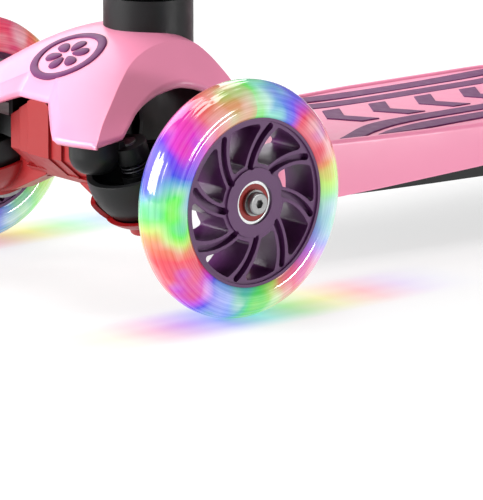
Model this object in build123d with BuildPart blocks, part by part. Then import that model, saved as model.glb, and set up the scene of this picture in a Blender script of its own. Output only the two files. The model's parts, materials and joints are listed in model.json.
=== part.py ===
"""Three-wheeled children's kick scooter that steers by leaning.

Frame: +X to the rider's left, +Y towards the rear, +Z up, the floor at Z = 0.  The origin is the
bottom centre of the whole scooter's box.  All sizes are millimetres.
"""
import math
import os

from build123d import *

# Whole scooter
OVERALL_LENGTH = 560.0
FAIRING_OVERHANG = 60.4
FRONT_AXLE_Y = FAIRING_OVERHANG - OVERALL_LENGTH / 2

# Wheels
FRONT_RADIUS = 60.0
REAR_RADIUS = 40.0
REAR_AXLE_Y = OVERALL_LENGTH / 2 - REAR_RADIUS
WHEEL_X = 109.0
TYRE_HALF_WIDTH = 14.0
CORE_HALF_WIDTH = 12.0
FRONT_RIM_RADIUS = 42.5
REAR_RIM_RADIUS = 29.0
RIM_WALL = 3.5
SPOKES = 8
SPOKE_START = 97.0
SPOKE_SWEEP = -28.0
SPOKE_HALF_WIDTHS = (3.7, 4.0, 5.2)
SLOT_WIDTH = 3.4
SLOT_DEPTH = 5.0
WINDOW_CORNER = 1.6
RECESS_DEPTH = 1.2
RIM_LIP = 1.6
HUB_RADIUS = 17.5
HUB_FLANGE = 2.0
SHOULDER_RISE = 5.5
LAMPS = 6

# 608 bearings on an 8 mm axle bolt
AXLE_RADIUS = 4.0
BEARING_RADIUS = 11.0
BEARING_WIDTH = 7.0
BEARING_FACE = 11.0
INNER_RING_RADIUS = 6.0
OUTER_RING_BORE = 9.4
BALL_RADIUS = 1.65
BALLS = 9
FIT = 0.05
WASHER_RADIUS = 6.6
WASHER_THICKNESS = 1.5
SPACER_RADIUS = 8.4
BOLT_HEAD_RADIUS = 5.7
BOLT_HEAD_HEIGHT = 3.2
BOLT_SOCKET_RADIUS = 2.0
BOLT_SOCKET_DEPTH = 2.6
BOSS_FACE_X = 93.5
BOSS_START_X = 72.0
BOSS_RADIUS = 10.5
AXLE_BORE_START_X = 60.0
AXLE_BOLT_END_X = 74.0
DROPOUT_INNER = 15.5
DROPOUT_OUTER = 20.5

# Lean-to-steer linkage
KINGPIN_X = 60.0
KINGPIN_Y = -22.0
KINGPIN_Z = 60.0
KINGPIN_LEAN = 20.0
KINGPIN_RADIUS = 4.0
BOWL_RADIUS = 25.0
BOWL_RIM = 14.0
BOWL_BOTTOM = -16.0
BOWL_WALL = 3.0
CLEARANCE = 0.7
SLEEVE_RADIUS = 8.0
SLEEVE_TOP = 10.0
STEER_ARM = 38.0
STEER_ARM_HALF = 6.0
STEER_ARM_THICKNESS = 5.0
TIE_ROD_RADIUS = 3.5
TIE_PIN_RADIUS = 2.5
TIE_ROD_DROP = 6.5

# Front fairing
FAIRING_WALL = 3.2
HOOD_SUM = 156.0
LEG_BOTTOM_Z = 86.4
ARCH_Y = 8.0
ARCH_Z = 50.0
ARCH_RADIUS = 57.0

# Steering column and T-bar
COLUMN_Y = 30.4
COLUMN_RADIUS = 19.0
COLUMN_BORE = 17.0
SHROUD_RADIUS = 23.0
COLLAR_BOTTOM = 112.3
COLLAR_TOP = 143.6
SHROUD_TOP = 226.0
COLUMN_BOTTOM = 68.0
COLUMN_TOP = 396.0
STEM_RADIUS = 15.5
STEM_BORE = 13.5
STEM_BOTTOM = 225.0
BAR_Z = 650.0
BAR_RADIUS = 11.0
BAR_HALF_LENGTH = 148.0
GRIP_RADIUS = 15.0
GRIP_INNER_X = 54.0
CLAMP_Z = 386.0
CLAMP_HALF_HEIGHT = 11.0
CLAMP_BOLT_Y = 31.0

# Deck
DECK_TOP = 64.0
DECK_BOTTOM = 34.0
DECK_WALL = 3.5
GRIP_PAD_HEIGHT = 0.8
TRAY_BOTTOM = 33.0
TRAY_FLOOR = 4.0
TONGUE_TOP = 59.0
TONGUE_BOTTOM = 45.0
TONGUE_END = 132.0

# Rear brake
FENDER_INNER = 46.0
FENDER_WALL = 3.0
FENDER_FLANGE = 2.0
FENDER_HALF_WIDTH = 21.0
BRAKE_PIN_Y = REAR_AXLE_Y - 54.0
BRAKE_PIN_Z = 50.0
BRAKE_PIN_RADIUS = 2.5

os.makedirs("parts", exist_ok=True)

LEAN = math.radians(KINGPIN_LEAN)
FRONT = Plane(origin=(0, FRONT_AXLE_Y, 0), x_dir=(1, 0, 0), z_dir=(0, -1, 0))
SIDE = Plane(origin=(0, FRONT_AXLE_Y, 0), x_dir=(0, 1, 0), z_dir=(1, 0, 0))
TOP = Plane(origin=(0, FRONT_AXLE_Y, 0))
COLUMN = Plane(origin=(0, FRONT_AXLE_Y + COLUMN_Y, 0))
KINGPIN = Plane(
    origin=(KINGPIN_X, FRONT_AXLE_Y + KINGPIN_Y, KINGPIN_Z),
    x_dir=(1, 0, 0),
    z_dir=(0, -math.sin(LEAN), math.cos(LEAN)),
)
LEFT_WHEEL = Plane(origin=(WHEEL_X, FRONT_AXLE_Y, FRONT_RADIUS), x_dir=(0, 1, 0), z_dir=(1, 0, 0))
RIGHT_WHEEL = Plane(
    origin=(-WHEEL_X, FRONT_AXLE_Y, FRONT_RADIUS), x_dir=(0, -1, 0), z_dir=(-1, 0, 0)
)
REAR_WHEEL = Plane(origin=(0, REAR_AXLE_Y, REAR_RADIUS), x_dir=(0, 1, 0), z_dir=(1, 0, 0))
BRAKE_PIN = Plane(origin=(0, BRAKE_PIN_Y, BRAKE_PIN_Z), x_dir=(0, 1, 0), z_dir=(1, 0, 0))


def save(part, name):
    """Label a finished piece and write it as its own STEP file."""
    part.label = name
    export_step(part, f"parts/{name}.step")


def save_pair(part, name):
    """Write a left-hand piece and its mirror image on the right."""
    save(part, f"{name}_left")
    save(mirror(part, about=Plane.YZ), f"{name}_right")


def section(plane):
    """Plane through a plane's normal: local x is the radius, local y runs along the normal."""
    return Plane(plane.origin, x_dir=plane.x_dir, z_dir=plane.x_dir.cross(plane.z_dir))


def turned(outline, plane, arc=360.0):
    """Body of revolution about a plane's normal, from (radius, height) points."""
    with BuildPart() as body:
        with BuildSketch(section(plane)):
            with BuildLine():
                Polyline(*outline, close=True)
            make_face()
        revolve(axis=Axis(plane.origin, plane.z_dir), revolution_arc=arc)
    return body.part


def ring(plane, r_in, r_out, low, high):
    """Plain ring about a plane's normal."""
    return turned([(r_in, low), (r_out, low), (r_out, high), (r_in, high)], plane)


def spun(plane, angle):
    """The same plane turned about its own normal, in degrees."""
    axis = Axis((0, 0, 0), plane.z_dir)
    return Plane(plane.origin, x_dir=plane.x_dir.rotate(axis, angle), z_dir=plane.z_dir)


def polar(radius, angle):
    """Point on a circle, the angle in degrees."""
    return (radius * math.cos(math.radians(angle)), radius * math.sin(math.radians(angle)))


# ---------------------------------------------------------------- wheels


def spoke_angle(radius, rim):
    """Sweep of a spoke's centre line from the hub to the rim."""
    return SPOKE_SWEEP * (radius - HUB_RADIUS) / (rim - HUB_RADIUS)


def spoke_side(radius, rim, start, half_width):
    """Point beside a spoke's centre line, half_width away round the circle."""
    angle = start + spoke_angle(radius, rim) + math.degrees(half_width / radius)
    return polar(radius, angle)


def make_core(name, plane, rim):
    """Wheel core: rim drum, hub with bearing seats and eight swept, slotted spokes."""
    inner = HUB_RADIUS + HUB_FLANGE
    outer = rim - RIM_WALL
    middle = (inner + outer) / 2
    step = 360.0 / SPOKES
    at_hub, at_middle, at_rim = SPOKE_HALF_WIDTHS
    slots = []
    for k in range(SPOKES):
        start = SPOKE_START + k * step
        slots.append(ThreePointArc(
            spoke_side(HUB_RADIUS + 1.0, rim, start, 0),
            spoke_side(middle, rim, start, 0),
            spoke_side(outer - 0.5, rim, start, 0),
        ))
    with BuildPart() as core:
        with BuildSketch(plane.offset(-CORE_HALF_WIDTH)):
            Circle(rim)
        extrude(amount=2 * CORE_HALF_WIDTH)
        with BuildSketch(plane.offset(-CORE_HALF_WIDTH)):
            for k in range(SPOKES):
                start = SPOKE_START + k * step
                with BuildLine():
                    ThreePointArc(
                        spoke_side(inner, rim, start, at_hub),
                        spoke_side(middle, rim, start, at_middle),
                        spoke_side(outer, rim, start, at_rim),
                    )
                    ThreePointArc(
                        spoke_side(outer, rim, start, at_rim),
                        spoke_side(outer, rim, start + step / 2, 0),
                        spoke_side(outer, rim, start + step, -at_rim),
                    )
                    ThreePointArc(
                        spoke_side(outer, rim, start + step, -at_rim),
                        spoke_side(middle, rim, start + step, -at_middle),
                        spoke_side(inner, rim, start + step, -at_hub),
                    )
                    ThreePointArc(
                        spoke_side(inner, rim, start + step, -at_hub),
                        spoke_side(inner, rim, start + step / 2, 0),
                        spoke_side(inner, rim, start, at_hub),
                    )
                make_face()
            fillet(vertices(), radius=WINDOW_CORNER)
        extrude(amount=2 * CORE_HALF_WIDTH, mode=Mode.SUBTRACT)
        for face, depth in ((CORE_HALF_WIDTH, -SLOT_DEPTH), (-CORE_HALF_WIDTH, SLOT_DEPTH)):
            with BuildSketch(plane.offset(face)):
                for path in slots:
                    SlotArc(path, height=SLOT_WIDTH)
            extrude(amount=depth, mode=Mode.SUBTRACT)
        with BuildSketch(plane.offset(-CORE_HALF_WIDTH)):
            Circle(OUTER_RING_BORE)
        extrude(amount=2 * CORE_HALF_WIDTH, mode=Mode.SUBTRACT)
        seat = BEARING_FACE - BEARING_WIDTH
        add(ring(plane, 0, BEARING_RADIUS, seat, CORE_HALF_WIDTH + 1), mode=Mode.SUBTRACT)
        add(ring(plane, 0, BEARING_RADIUS, -CORE_HALF_WIDTH - 1, -seat), mode=Mode.SUBTRACT)
        face = CORE_HALF_WIDTH + 1
        floor = CORE_HALF_WIDTH - RECESS_DEPTH
        for low, high in ((floor, face), (-face, -floor)):
            add(ring(plane, HUB_RADIUS, rim - RIM_LIP, low, high), mode=Mode.SUBTRACT)
    save(core.part, f"wheel_core_{name}")


def make_tyre(name, plane, radius, rim, lights):
    """Cast clear tyre with rounded shoulders; a lit one has a channel for its light ring."""
    shoulder = rim + SHOULDER_RISE
    with BuildPart() as tyre:
        with BuildSketch(section(plane)):
            with BuildLine():
                Polyline((shoulder, -TYRE_HALF_WIDTH), (rim, -CORE_HALF_WIDTH), (rim, CORE_HALF_WIDTH),
                         (shoulder, TYRE_HALF_WIDTH))
                ThreePointArc((shoulder, TYRE_HALF_WIDTH), (radius, 0), (shoulder, -TYRE_HALF_WIDTH))
            make_face()
            if lights:
                with Locations((rim, 0)):
                    Rectangle(7.0, 12.0, mode=Mode.SUBTRACT)
        revolve(axis=Axis(plane.origin, plane.z_dir))
    save(tyre.part, f"tyre_{name}")


def make_light_ring(name, plane, rim):
    """Light ring under the tyre: a flexible board with six lamps."""
    with BuildPart() as lights:
        add(ring(plane, rim, rim + 1.0, -5.5, 5.5))
        for k in range(LAMPS):
            arm = spun(plane, 360.0 / LAMPS * k).offset(-2.5)
            with BuildSketch(arm):
                with Locations((rim + 1.9, 0)):
                    Rectangle(2.2, 5.0)
            extrude(amount=5.0)
    save(lights.part, f"light_ring_{name}")


def make_bearings(name, plane):
    """Two 608 bearings: rotating outer rings, seals and balls, and still inner rings."""
    centre = BEARING_FACE - BEARING_WIDTH / 2
    half = BEARING_WIDTH / 2
    with BuildPart() as outer:
        for mid in (-centre, centre):
            add(ring(plane, OUTER_RING_BORE, BEARING_RADIUS, mid - half, mid + half))
    save(outer.part, f"bearing_outer_{name}")
    with BuildPart() as inner:
        for mid in (-centre, centre):
            add(ring(plane, AXLE_RADIUS + FIT, INNER_RING_RADIUS, mid - half, mid + half))
    save(inner.part, f"bearing_inner_{name}")
    with BuildPart() as seals:
        for mid in (-centre, centre):
            for low, high in ((mid - half + 0.4, mid - half + 1.2), (mid + half - 1.2, mid + half - 0.4)):
                add(ring(plane, INNER_RING_RADIUS + 0.1, OUTER_RING_BORE, low, high))
    save(seals.part, f"bearing_seals_{name}")
    with BuildPart() as balls:
        for mid in (-centre, centre):
            with Locations(plane.offset(mid)):
                with PolarLocations((INNER_RING_RADIUS + OUTER_RING_BORE) / 2, BALLS):
                    Sphere(BALL_RADIUS)
    save(balls.part, f"bearing_balls_{name}")


def make_axle(name, plane):
    """Front axle bolt with a hexagon socket, and the sleeve and washers that set the bearings."""
    head = BEARING_FACE + WASHER_THICKNESS
    with BuildPart() as bolt:
        add(ring(plane, 0, AXLE_RADIUS, AXLE_BOLT_END_X - WHEEL_X, head))
        with BuildSketch(plane.offset(head)):
            Circle(BOLT_HEAD_RADIUS)
        extrude(amount=BOLT_HEAD_HEIGHT)
        fillet(edges().filter_by(GeomType.CIRCLE).group_by(SortBy.RADIUS)[-1].sort_by(
            lambda edge: (edge.center() - plane.origin).dot(plane.z_dir))[-1], radius=1.0)
        with BuildSketch(plane.offset(head + BOLT_HEAD_HEIGHT)):
            RegularPolygon(radius=BOLT_SOCKET_RADIUS, side_count=6, major_radius=False)
        extrude(amount=-BOLT_SOCKET_DEPTH, mode=Mode.SUBTRACT)
    save(bolt.part, f"axle_bolt_{name}")
    gap = BEARING_FACE - BEARING_WIDTH
    with BuildPart() as spacers:
        add(ring(plane, AXLE_RADIUS + FIT, WASHER_RADIUS, BEARING_FACE, head))
        add(ring(plane, AXLE_RADIUS + FIT, SPACER_RADIUS, -gap, gap))
        add(ring(plane, AXLE_RADIUS + FIT, WASHER_RADIUS, BOSS_FACE_X - WHEEL_X, -BEARING_FACE))
    save(spacers.part, f"axle_spacers_{name}")


for name, plane, radius, rim, lights in (
    ("left", LEFT_WHEEL, FRONT_RADIUS, FRONT_RIM_RADIUS, True),
    ("right", RIGHT_WHEEL, FRONT_RADIUS, FRONT_RIM_RADIUS, True),
    ("rear", REAR_WHEEL, REAR_RADIUS, REAR_RIM_RADIUS, False),
):
    make_core(name, plane, rim)
    make_tyre(name, plane, radius, rim, lights)
    make_bearings(name, plane)
    if lights:
        make_light_ring(name, plane, rim)

for name, plane in (("left", LEFT_WHEEL), ("right", RIGHT_WHEEL)):
    make_axle(name, plane)

with BuildPart() as axle_bolt_rear:
    add(ring(REAR_WHEEL, 0, AXLE_RADIUS, -DROPOUT_OUTER - WASHER_THICKNESS, DROPOUT_OUTER))
    add(ring(REAR_WHEEL, 0, BOLT_HEAD_RADIUS, DROPOUT_OUTER, DROPOUT_OUTER + BOLT_HEAD_HEIGHT))
    with BuildSketch(REAR_WHEEL.offset(DROPOUT_OUTER + BOLT_HEAD_HEIGHT)):
        RegularPolygon(radius=BOLT_SOCKET_RADIUS, side_count=6, major_radius=False)
    extrude(amount=-BOLT_SOCKET_DEPTH, mode=Mode.SUBTRACT)
save(axle_bolt_rear.part, "axle_bolt_rear")

with BuildPart() as axle_spacers_rear:
    bearing_gap = BEARING_FACE - BEARING_WIDTH
    add(ring(REAR_WHEEL, AXLE_RADIUS + FIT, SPACER_RADIUS, -bearing_gap, bearing_gap))
    for low, high in ((BEARING_FACE, DROPOUT_INNER), (-DROPOUT_INNER, -BEARING_FACE)):
        add(ring(REAR_WHEEL, AXLE_RADIUS + FIT, WASHER_RADIUS, low, high))
save(axle_spacers_rear.part, "axle_spacers_rear")

# ---------------------------------------------------------------- steering knuckles


def bowl_body(grow, top, arc=360.0, start=0.0):
    """Solid dish about the kingpin, grown outwards from the knuckle's bowl."""
    plane = spun(KINGPIN, start)
    with BuildPart() as body:
        with BuildSketch(section(plane)):
            with BuildLine():
                rim = (BOWL_RADIUS + grow, BOWL_RIM)
                ThreePointArc(rim, (21.0 + grow, -5.0 - 0.7 * grow), (8.0, BOWL_BOTTOM - grow))
                Polyline((8.0, BOWL_BOTTOM - grow), (0, BOWL_BOTTOM - grow), (0, BOWL_RIM), rim)
            make_face()
            with Locations((0, top + 50)):
                Rectangle(200, 100, mode=Mode.SUBTRACT)
        revolve(axis=Axis(plane.origin, plane.z_dir), revolution_arc=arc)
    return body.part


with BuildPart() as bowl_ribs:
    for k in range(6):
        with BuildSketch(spun(KINGPIN, 60.0 * k + 30).offset(BOWL_BOTTOM + 1)):
            with Locations((16.0, 0)):
                Rectangle(20.0, 2.0)
        extrude(amount=19.0)
    add(bowl_body(-BOWL_WALL / 2, BOWL_RIM), mode=Mode.INTERSECT)

with BuildPart() as knuckle:
    add(bowl_body(0, BOWL_RIM))
    add(bowl_body(-BOWL_WALL, BOWL_RIM), mode=Mode.SUBTRACT)
    add(ring(KINGPIN, 0, SLEEVE_RADIUS, BOWL_BOTTOM, SLEEVE_TOP))
    add(bowl_ribs.part)
    with BuildSketch(KINGPIN.offset(BOWL_BOTTOM)):
        with Locations((0, STEER_ARM / 2)):
            Rectangle(2 * STEER_ARM_HALF, STEER_ARM)
        with Locations((0, STEER_ARM)):
            Circle(STEER_ARM_HALF)
    extrude(amount=STEER_ARM_THICKNESS)
    with BuildSketch(LEFT_WHEEL.offset(BOSS_START_X - WHEEL_X)):
        Circle(BOSS_RADIUS)
    extrude(amount=BOSS_FACE_X - BOSS_START_X)
    add(ring(KINGPIN, 0, KINGPIN_RADIUS + FIT, -60, 60), mode=Mode.SUBTRACT)
    add(ring(KINGPIN, 0, 7.0, SLEEVE_TOP, 40), mode=Mode.SUBTRACT)
    with BuildSketch(LEFT_WHEEL.offset(AXLE_BORE_START_X - WHEEL_X)):
        Circle(AXLE_RADIUS)
    extrude(amount=60, mode=Mode.SUBTRACT)
    with BuildSketch(KINGPIN.offset(-30)):
        with Locations((0, STEER_ARM)):
            Circle(TIE_PIN_RADIUS)
    extrude(amount=60, mode=Mode.SUBTRACT)
save_pair(knuckle.part, "knuckle")

BOSS_LOW = 17.0
BOSS_HIGH = 26.0
SEAT_LOW = -20.5
with BuildPart() as kingpin:
    add(ring(KINGPIN, 0, KINGPIN_RADIUS, SEAT_LOW, BOSS_HIGH + 1))
    add(ring(KINGPIN, 0, 7.0, SEAT_LOW - 4, SEAT_LOW))
    with BuildSketch(KINGPIN.offset(SEAT_LOW - 4)):
        RegularPolygon(radius=2.5, side_count=6, major_radius=False)
    extrude(amount=3, mode=Mode.SUBTRACT)
with BuildPart() as kingpins:
    add(kingpin.part)
    add(mirror(kingpin.part, about=Plane.YZ))
save(kingpins.part, "kingpins")

SPRING_RADIUS = 6.6
SPRING_WIRE = 0.8
with BuildPart() as centring_spring:
    coil_start = KINGPIN.offset(SLEEVE_TOP + 1.4)
    with BuildLine():
        coil = Helix(pitch=1.9, height=4.2, radius=SPRING_RADIUS, center=coil_start.origin,
                     direction=KINGPIN.z_dir)
    with BuildSketch(Plane(coil @ 0, z_dir=coil % 0)):
        Circle(SPRING_WIRE)
    sweep(is_frenet=True)
with BuildPart() as centring_springs:
    add(centring_spring.part)
    add(mirror(centring_spring.part, about=Plane.YZ))
save(centring_springs.part, "centring_springs")

TIE_PLANE = Plane(
    KINGPIN.origin + KINGPIN.y_dir * STEER_ARM + KINGPIN.z_dir * (BOWL_BOTTOM - TIE_ROD_DROP),
    x_dir=KINGPIN.x_dir,
    z_dir=KINGPIN.z_dir,
)
with BuildPart() as tie_rod:
    rod_plane = Plane(TIE_PLANE.origin - Vector(2 * KINGPIN_X - 5, 0, 0), x_dir=(0, 1, 0), z_dir=(1, 0, 0))
    with BuildSketch(rod_plane):
        Circle(TIE_ROD_RADIUS)
    extrude(amount=2 * KINGPIN_X - 10)
    for shift in (0.0, -2 * KINGPIN_X):
        eye = Plane(TIE_PLANE.origin + Vector(shift, 0, 0), x_dir=(1, 0, 0), z_dir=KINGPIN.z_dir)
        add(ring(eye, 0, 6.0, -4.0, 4.0))
        add(ring(eye, 0, TIE_PIN_RADIUS, -5.0, 5.0), mode=Mode.SUBTRACT)
save(tie_rod.part, "tie_rod")

with BuildPart() as tie_rod_pins:
    for shift in (0.0, -2 * KINGPIN_X):
        eye = Plane(TIE_PLANE.origin + Vector(shift, 0, 0), x_dir=(1, 0, 0), z_dir=KINGPIN.z_dir)
        add(ring(eye, 0, TIE_PIN_RADIUS - FIT, -4.0, TIE_ROD_DROP + 6.2))
        add(ring(eye, 0, 4.2, -6.2, -4.0))
save(tie_rod_pins.part, "tie_rod_pins")

# ---------------------------------------------------------------- front chassis

SCREW_X = 16.0
SCREW_Y = -18.0
BLOCK_HALF = 26.0
BLOCK_FRONT = -41.0
BLOCK_TOP = 98.3
SOCKET_RADIUS = 26.0
WEB_REAR = 13.5
WEB_THICKNESS = 11.5
DISH_WALL = 2.6
with BuildPart() as front_chassis:
    with BuildSketch(SIDE.offset(-BLOCK_HALF)):
        Polygon(
            (BLOCK_FRONT, 69), (BLOCK_FRONT, BLOCK_TOP), (40, BLOCK_TOP), (56, 84), (70, TONGUE_TOP),
            (TONGUE_END, TONGUE_TOP), (TONGUE_END, TONGUE_BOTTOM), (52, TONGUE_BOTTOM), (36, 63), (-8, 63),
            (-16, 54.5), (-24, 55), (-29.6, 59.5), align=None,
        )
    extrude(amount=2 * BLOCK_HALF)
    with BuildSketch(FRONT.offset(60)):
        Polygon((-26, 20), (26, 20), (26, 86), (4, BLOCK_TOP), (-4, BLOCK_TOP), (-26, 86), align=None)
    extrude(amount=-200, mode=Mode.INTERSECT)
    for step, depth in ((8.5, 1.5), (17.0, 3.0)):
        for sign in (-1, 1):
            with BuildSketch(SIDE.offset(sign * step)):
                Polygon((BLOCK_FRONT - 1, 58), (BLOCK_FRONT - 1, 110), (BLOCK_FRONT + depth, 110),
                        (BLOCK_FRONT + depth, 69), (-29.6 + depth, 59), (-31, 58), align=None)
            extrude(amount=sign * 30, mode=Mode.SUBTRACT)
    add(ring(COLUMN, 0, SOCKET_RADIUS, 63, COLLAR_BOTTOM - 0.3))
    with BuildSketch(FRONT.offset(WEB_REAR)):
        for sign in (-1, 1):
            Polygon((sign * 14, 66), (sign * 14, 55), (sign * 40, 43), (sign * 57, 38), (sign * 70, 41),
                    (sign * 50, 60), (sign * 26, 62), align=None)
    extrude(amount=WEB_THICKNESS)
    low_dish = bowl_body(DISH_WALL, -9.5, arc=165.0, start=150.0)
    high_dish = bowl_body(DISH_WALL, 0.0, arc=90.0, start=150.0)
    seat = ring(KINGPIN, 0, 12.0, SEAT_LOW, BOWL_BOTTOM - CLEARANCE)
    swept_bowl = bowl_body(CLEARANCE, BOWL_RIM)
    pin_hole = ring(KINGPIN, 0, KINGPIN_RADIUS, -60, 60)
    for piece in (low_dish, high_dish, seat):
        add(piece)
        add(mirror(piece, about=Plane.YZ))
    head_room = ring(KINGPIN, 0, 7.3, -60, SEAT_LOW)
    for tool in (swept_bowl, pin_hole, head_room):
        add(tool, mode=Mode.SUBTRACT)
        add(mirror(tool, about=Plane.YZ), mode=Mode.SUBTRACT)
    with BuildSketch(COLUMN.offset(COLUMN_BOTTOM)):
        Circle(COLUMN_RADIUS)
    extrude(amount=100, mode=Mode.SUBTRACT)
    with BuildSketch(TOP.offset(40)):
        with Locations((SCREW_X, SCREW_Y), (-SCREW_X, SCREW_Y)):
            Circle(4.2)
    extrude(amount=44, mode=Mode.SUBTRACT)
    with BuildSketch(TOP.offset(40)):
        with Locations((SCREW_X, SCREW_Y), (-SCREW_X, SCREW_Y)):
            Circle(2.0)
    extrude(amount=80, mode=Mode.SUBTRACT)
    with BuildSketch(TOP.offset(40)):
        with Locations((0, 104)):
            with GridLocations(30, 34, 2, 2):
                Circle(2.0)
    extrude(amount=16, mode=Mode.SUBTRACT)
save(front_chassis.part, "front_chassis")

POD_X = 50.0
POD_Y = -44.0
POD_RADIUS = 13.0
POD_BOTTOM = 69.0
with BuildPart() as steering_pod:
    with BuildSketch(TOP.offset(POD_BOTTOM)):
        with Locations((POD_X, POD_Y)):
            Circle(POD_RADIUS)
    extrude(amount=LEG_BOTTOM_Z - 0.3 - POD_BOTTOM)
    fillet(edges().filter_by(GeomType.CIRCLE).sort_by(Axis.Z)[0], radius=10.0)
    add(ring(KINGPIN, 0, 9.0, BOSS_LOW, BOSS_HIGH))
    with BuildSketch(FRONT.offset(38)):
        Polygon((26, 74), (62, 78), (62, 86), (26, 85), align=None)
    extrude(amount=-17)
    with BuildSketch(SIDE.offset(BLOCK_HALF)):
        Polygon((-37, 76), (-37, 97), (-14, 108), (6, 111), (6, 70), (-8, 70), align=None)
    extrude(amount=3)
    for rib_y in (-26, -14, -2):
        with BuildSketch(FRONT.offset(-rib_y)):
            Polygon((29, 70), (29, 100), (34, 98), (36, 88), (34, 74), align=None)
        extrude(amount=2)
    add(ring(KINGPIN, 0, BOWL_RADIUS + CLEARANCE, -30, BOWL_RIM + CLEARANCE), mode=Mode.SUBTRACT)
    add(ring(KINGPIN, 0, KINGPIN_RADIUS, -60, 60), mode=Mode.SUBTRACT)
save_pair(steering_pod.part, "steering_pod")

# ---------------------------------------------------------------- fairing


HOOD_LINE = [(-63, 84), (-36, 108.5), (-8, 125.5), (22, 129.5), (42, 118), (49, 94), (52, 40)]


def hood_body(inset):
    """Solid under the hood's skin, moved inwards by inset on every side."""
    with BuildPart() as body:
        with BuildSketch(SIDE):
            with BuildLine():
                FilletPolyline(*HOOD_LINE, radius=22)
                Polyline(HOOD_LINE[-1], (-63, 40), HOOD_LINE[0])
            make_face()
            offset(amount=-inset, kind=Kind.INTERSECTION)
        extrude(amount=75, both=True)
        with BuildSketch(FRONT):
            Polygon((-72, 20), (72, 20), (72, HOOD_SUM - 72), (26, HOOD_SUM - 26), (-26, HOOD_SUM - 26),
                    (-72, HOOD_SUM - 72), align=None)
            offset(amount=-inset, kind=Kind.INTERSECTION)
        extrude(amount=90, both=True, mode=Mode.INTERSECT)
        with BuildSketch(TOP.offset(20)):
            Polygon((-72, -75), (72, -75), (72, -12), (57, 26), (57, 70), (-57, 70), (-57, 26), (-72, -12),
                    align=None)
            offset(amount=-inset, kind=Kind.INTERSECTION)
        extrude(amount=130, mode=Mode.INTERSECT)
    return body.part


with BuildPart() as fairing:
    add(hood_body(0))
    add(hood_body(FAIRING_WALL), mode=Mode.SUBTRACT)
    with BuildSketch(SIDE):
        with Locations((ARCH_Y, ARCH_Z)):
            Circle(ARCH_RADIUS)
        Polygon((-80, 20), (-80, LEG_BOTTOM_Z), (-52, LEG_BOTTOM_Z), (-30, 90), (0, 90), (0, 20), align=None)
        Polygon((0, 20), (0, 62), (80, 62), (80, 20), align=None)
    extrude(amount=90, both=True, mode=Mode.SUBTRACT)
    with BuildSketch(FRONT.offset(20)):
        Polygon((-12, 98.8), (12, 98.8), (38, LEG_BOTTOM_Z), (38, 50), (-38, 50), (-38, LEG_BOTTOM_Z),
                align=None)
    extrude(amount=60, mode=Mode.SUBTRACT)
    with BuildSketch(FRONT.offset(-30)):
        with Locations((0, 30)):
            Rectangle(2 * BLOCK_HALF + 2, BLOCK_TOP - 29, align=(Align.CENTER, Align.MIN))
    extrude(amount=-50, mode=Mode.SUBTRACT)
    add(ring(COLUMN, 0, SOCKET_RADIUS + 0.5, 60, COLLAR_BOTTOM + 0.3), mode=Mode.SUBTRACT)
    add(ring(COLUMN, 0, SHROUD_RADIUS + 0.6, 90, 170), mode=Mode.SUBTRACT)
    with BuildSketch(TOP.offset(BLOCK_TOP + 0.2)):
        with Locations((SCREW_X, SCREW_Y), (-SCREW_X, SCREW_Y)):
            Circle(4.5)
    extrude(amount=17)
    with BuildSketch(TOP.offset(BLOCK_TOP)):
        with Locations((SCREW_X, SCREW_Y), (-SCREW_X, SCREW_Y)):
            Circle(2.0)
    extrude(amount=12, mode=Mode.SUBTRACT)
save(fairing.part, "fairing")

EMBLEM_Y = -15.0
EMBLEM_RADIUS = 20.5
with BuildPart() as fairing_emblem:
    with BuildSketch(TOP.offset(95)):
        with Locations((0, EMBLEM_Y)):
            Circle(EMBLEM_RADIUS)
            Circle(EMBLEM_RADIUS - 4.0, mode=Mode.SUBTRACT)
            for petal in range(6):
                with Locations(polar(6.5, 60.0 * petal + 30)):
                    Ellipse(4.6, 2.6, rotation=60.0 * petal + 30)
            Circle(2.4, mode=Mode.SUBTRACT)
    extrude(amount=40)
    add(hood_body(0).moved(Location((0, -0.35, 0.75))), mode=Mode.INTERSECT)
    add(hood_body(0), mode=Mode.SUBTRACT)
save(fairing_emblem.part, "fairing_emblem")

with BuildPart() as fairing_screws:
    for screw_x in (-SCREW_X, SCREW_X):
        shaft = Plane(origin=(screw_x, FRONT_AXLE_Y + SCREW_Y, 0))
        add(ring(shaft, 0, 1.95, 84, 109))
        add(ring(shaft, 0, 3.9, 81.4, 84))
save(fairing_screws.part, "fairing_screws")

# ---------------------------------------------------------------- steering column and T-bar

save(ring(COLUMN, COLUMN_RADIUS, SHROUD_RADIUS, COLLAR_BOTTOM, COLLAR_TOP), "column_collar")

shroud_outline = [
    (COLUMN_RADIUS, COLLAR_TOP + 0.6), (SHROUD_RADIUS - 0.6, COLLAR_TOP + 0.6),
    (SHROUD_RADIUS, COLLAR_TOP + 1.2), (SHROUD_RADIUS, SHROUD_TOP - 22),
    (COLUMN_RADIUS + 1.6, SHROUD_TOP), (COLUMN_RADIUS, SHROUD_TOP),
]
save(turned(shroud_outline, COLUMN), "column_shroud")

with BuildPart() as column_tube:
    add(ring(COLUMN, COLUMN_BORE, COLUMN_RADIUS, COLUMN_BOTTOM, COLUMN_TOP))
    with BuildSketch(COLUMN.offset(COLUMN_TOP - 26)):
        with Locations((0, COLUMN_RADIUS)):
            Rectangle(2.5, 10)
    extrude(amount=30, mode=Mode.SUBTRACT)
save(column_tube.part, "column_tube")

BUSH_LENGTH = 34.0
with BuildPart() as column_bush:
    add(ring(COLUMN, STEM_RADIUS + FIT, COLUMN_BORE, COLUMN_TOP - BUSH_LENGTH, COLUMN_TOP))
    add(ring(COLUMN, STEM_RADIUS + FIT, COLUMN_RADIUS + 1.5, COLUMN_TOP, COLUMN_TOP + 2.5))
save(column_bush.part, "column_bush")

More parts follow.
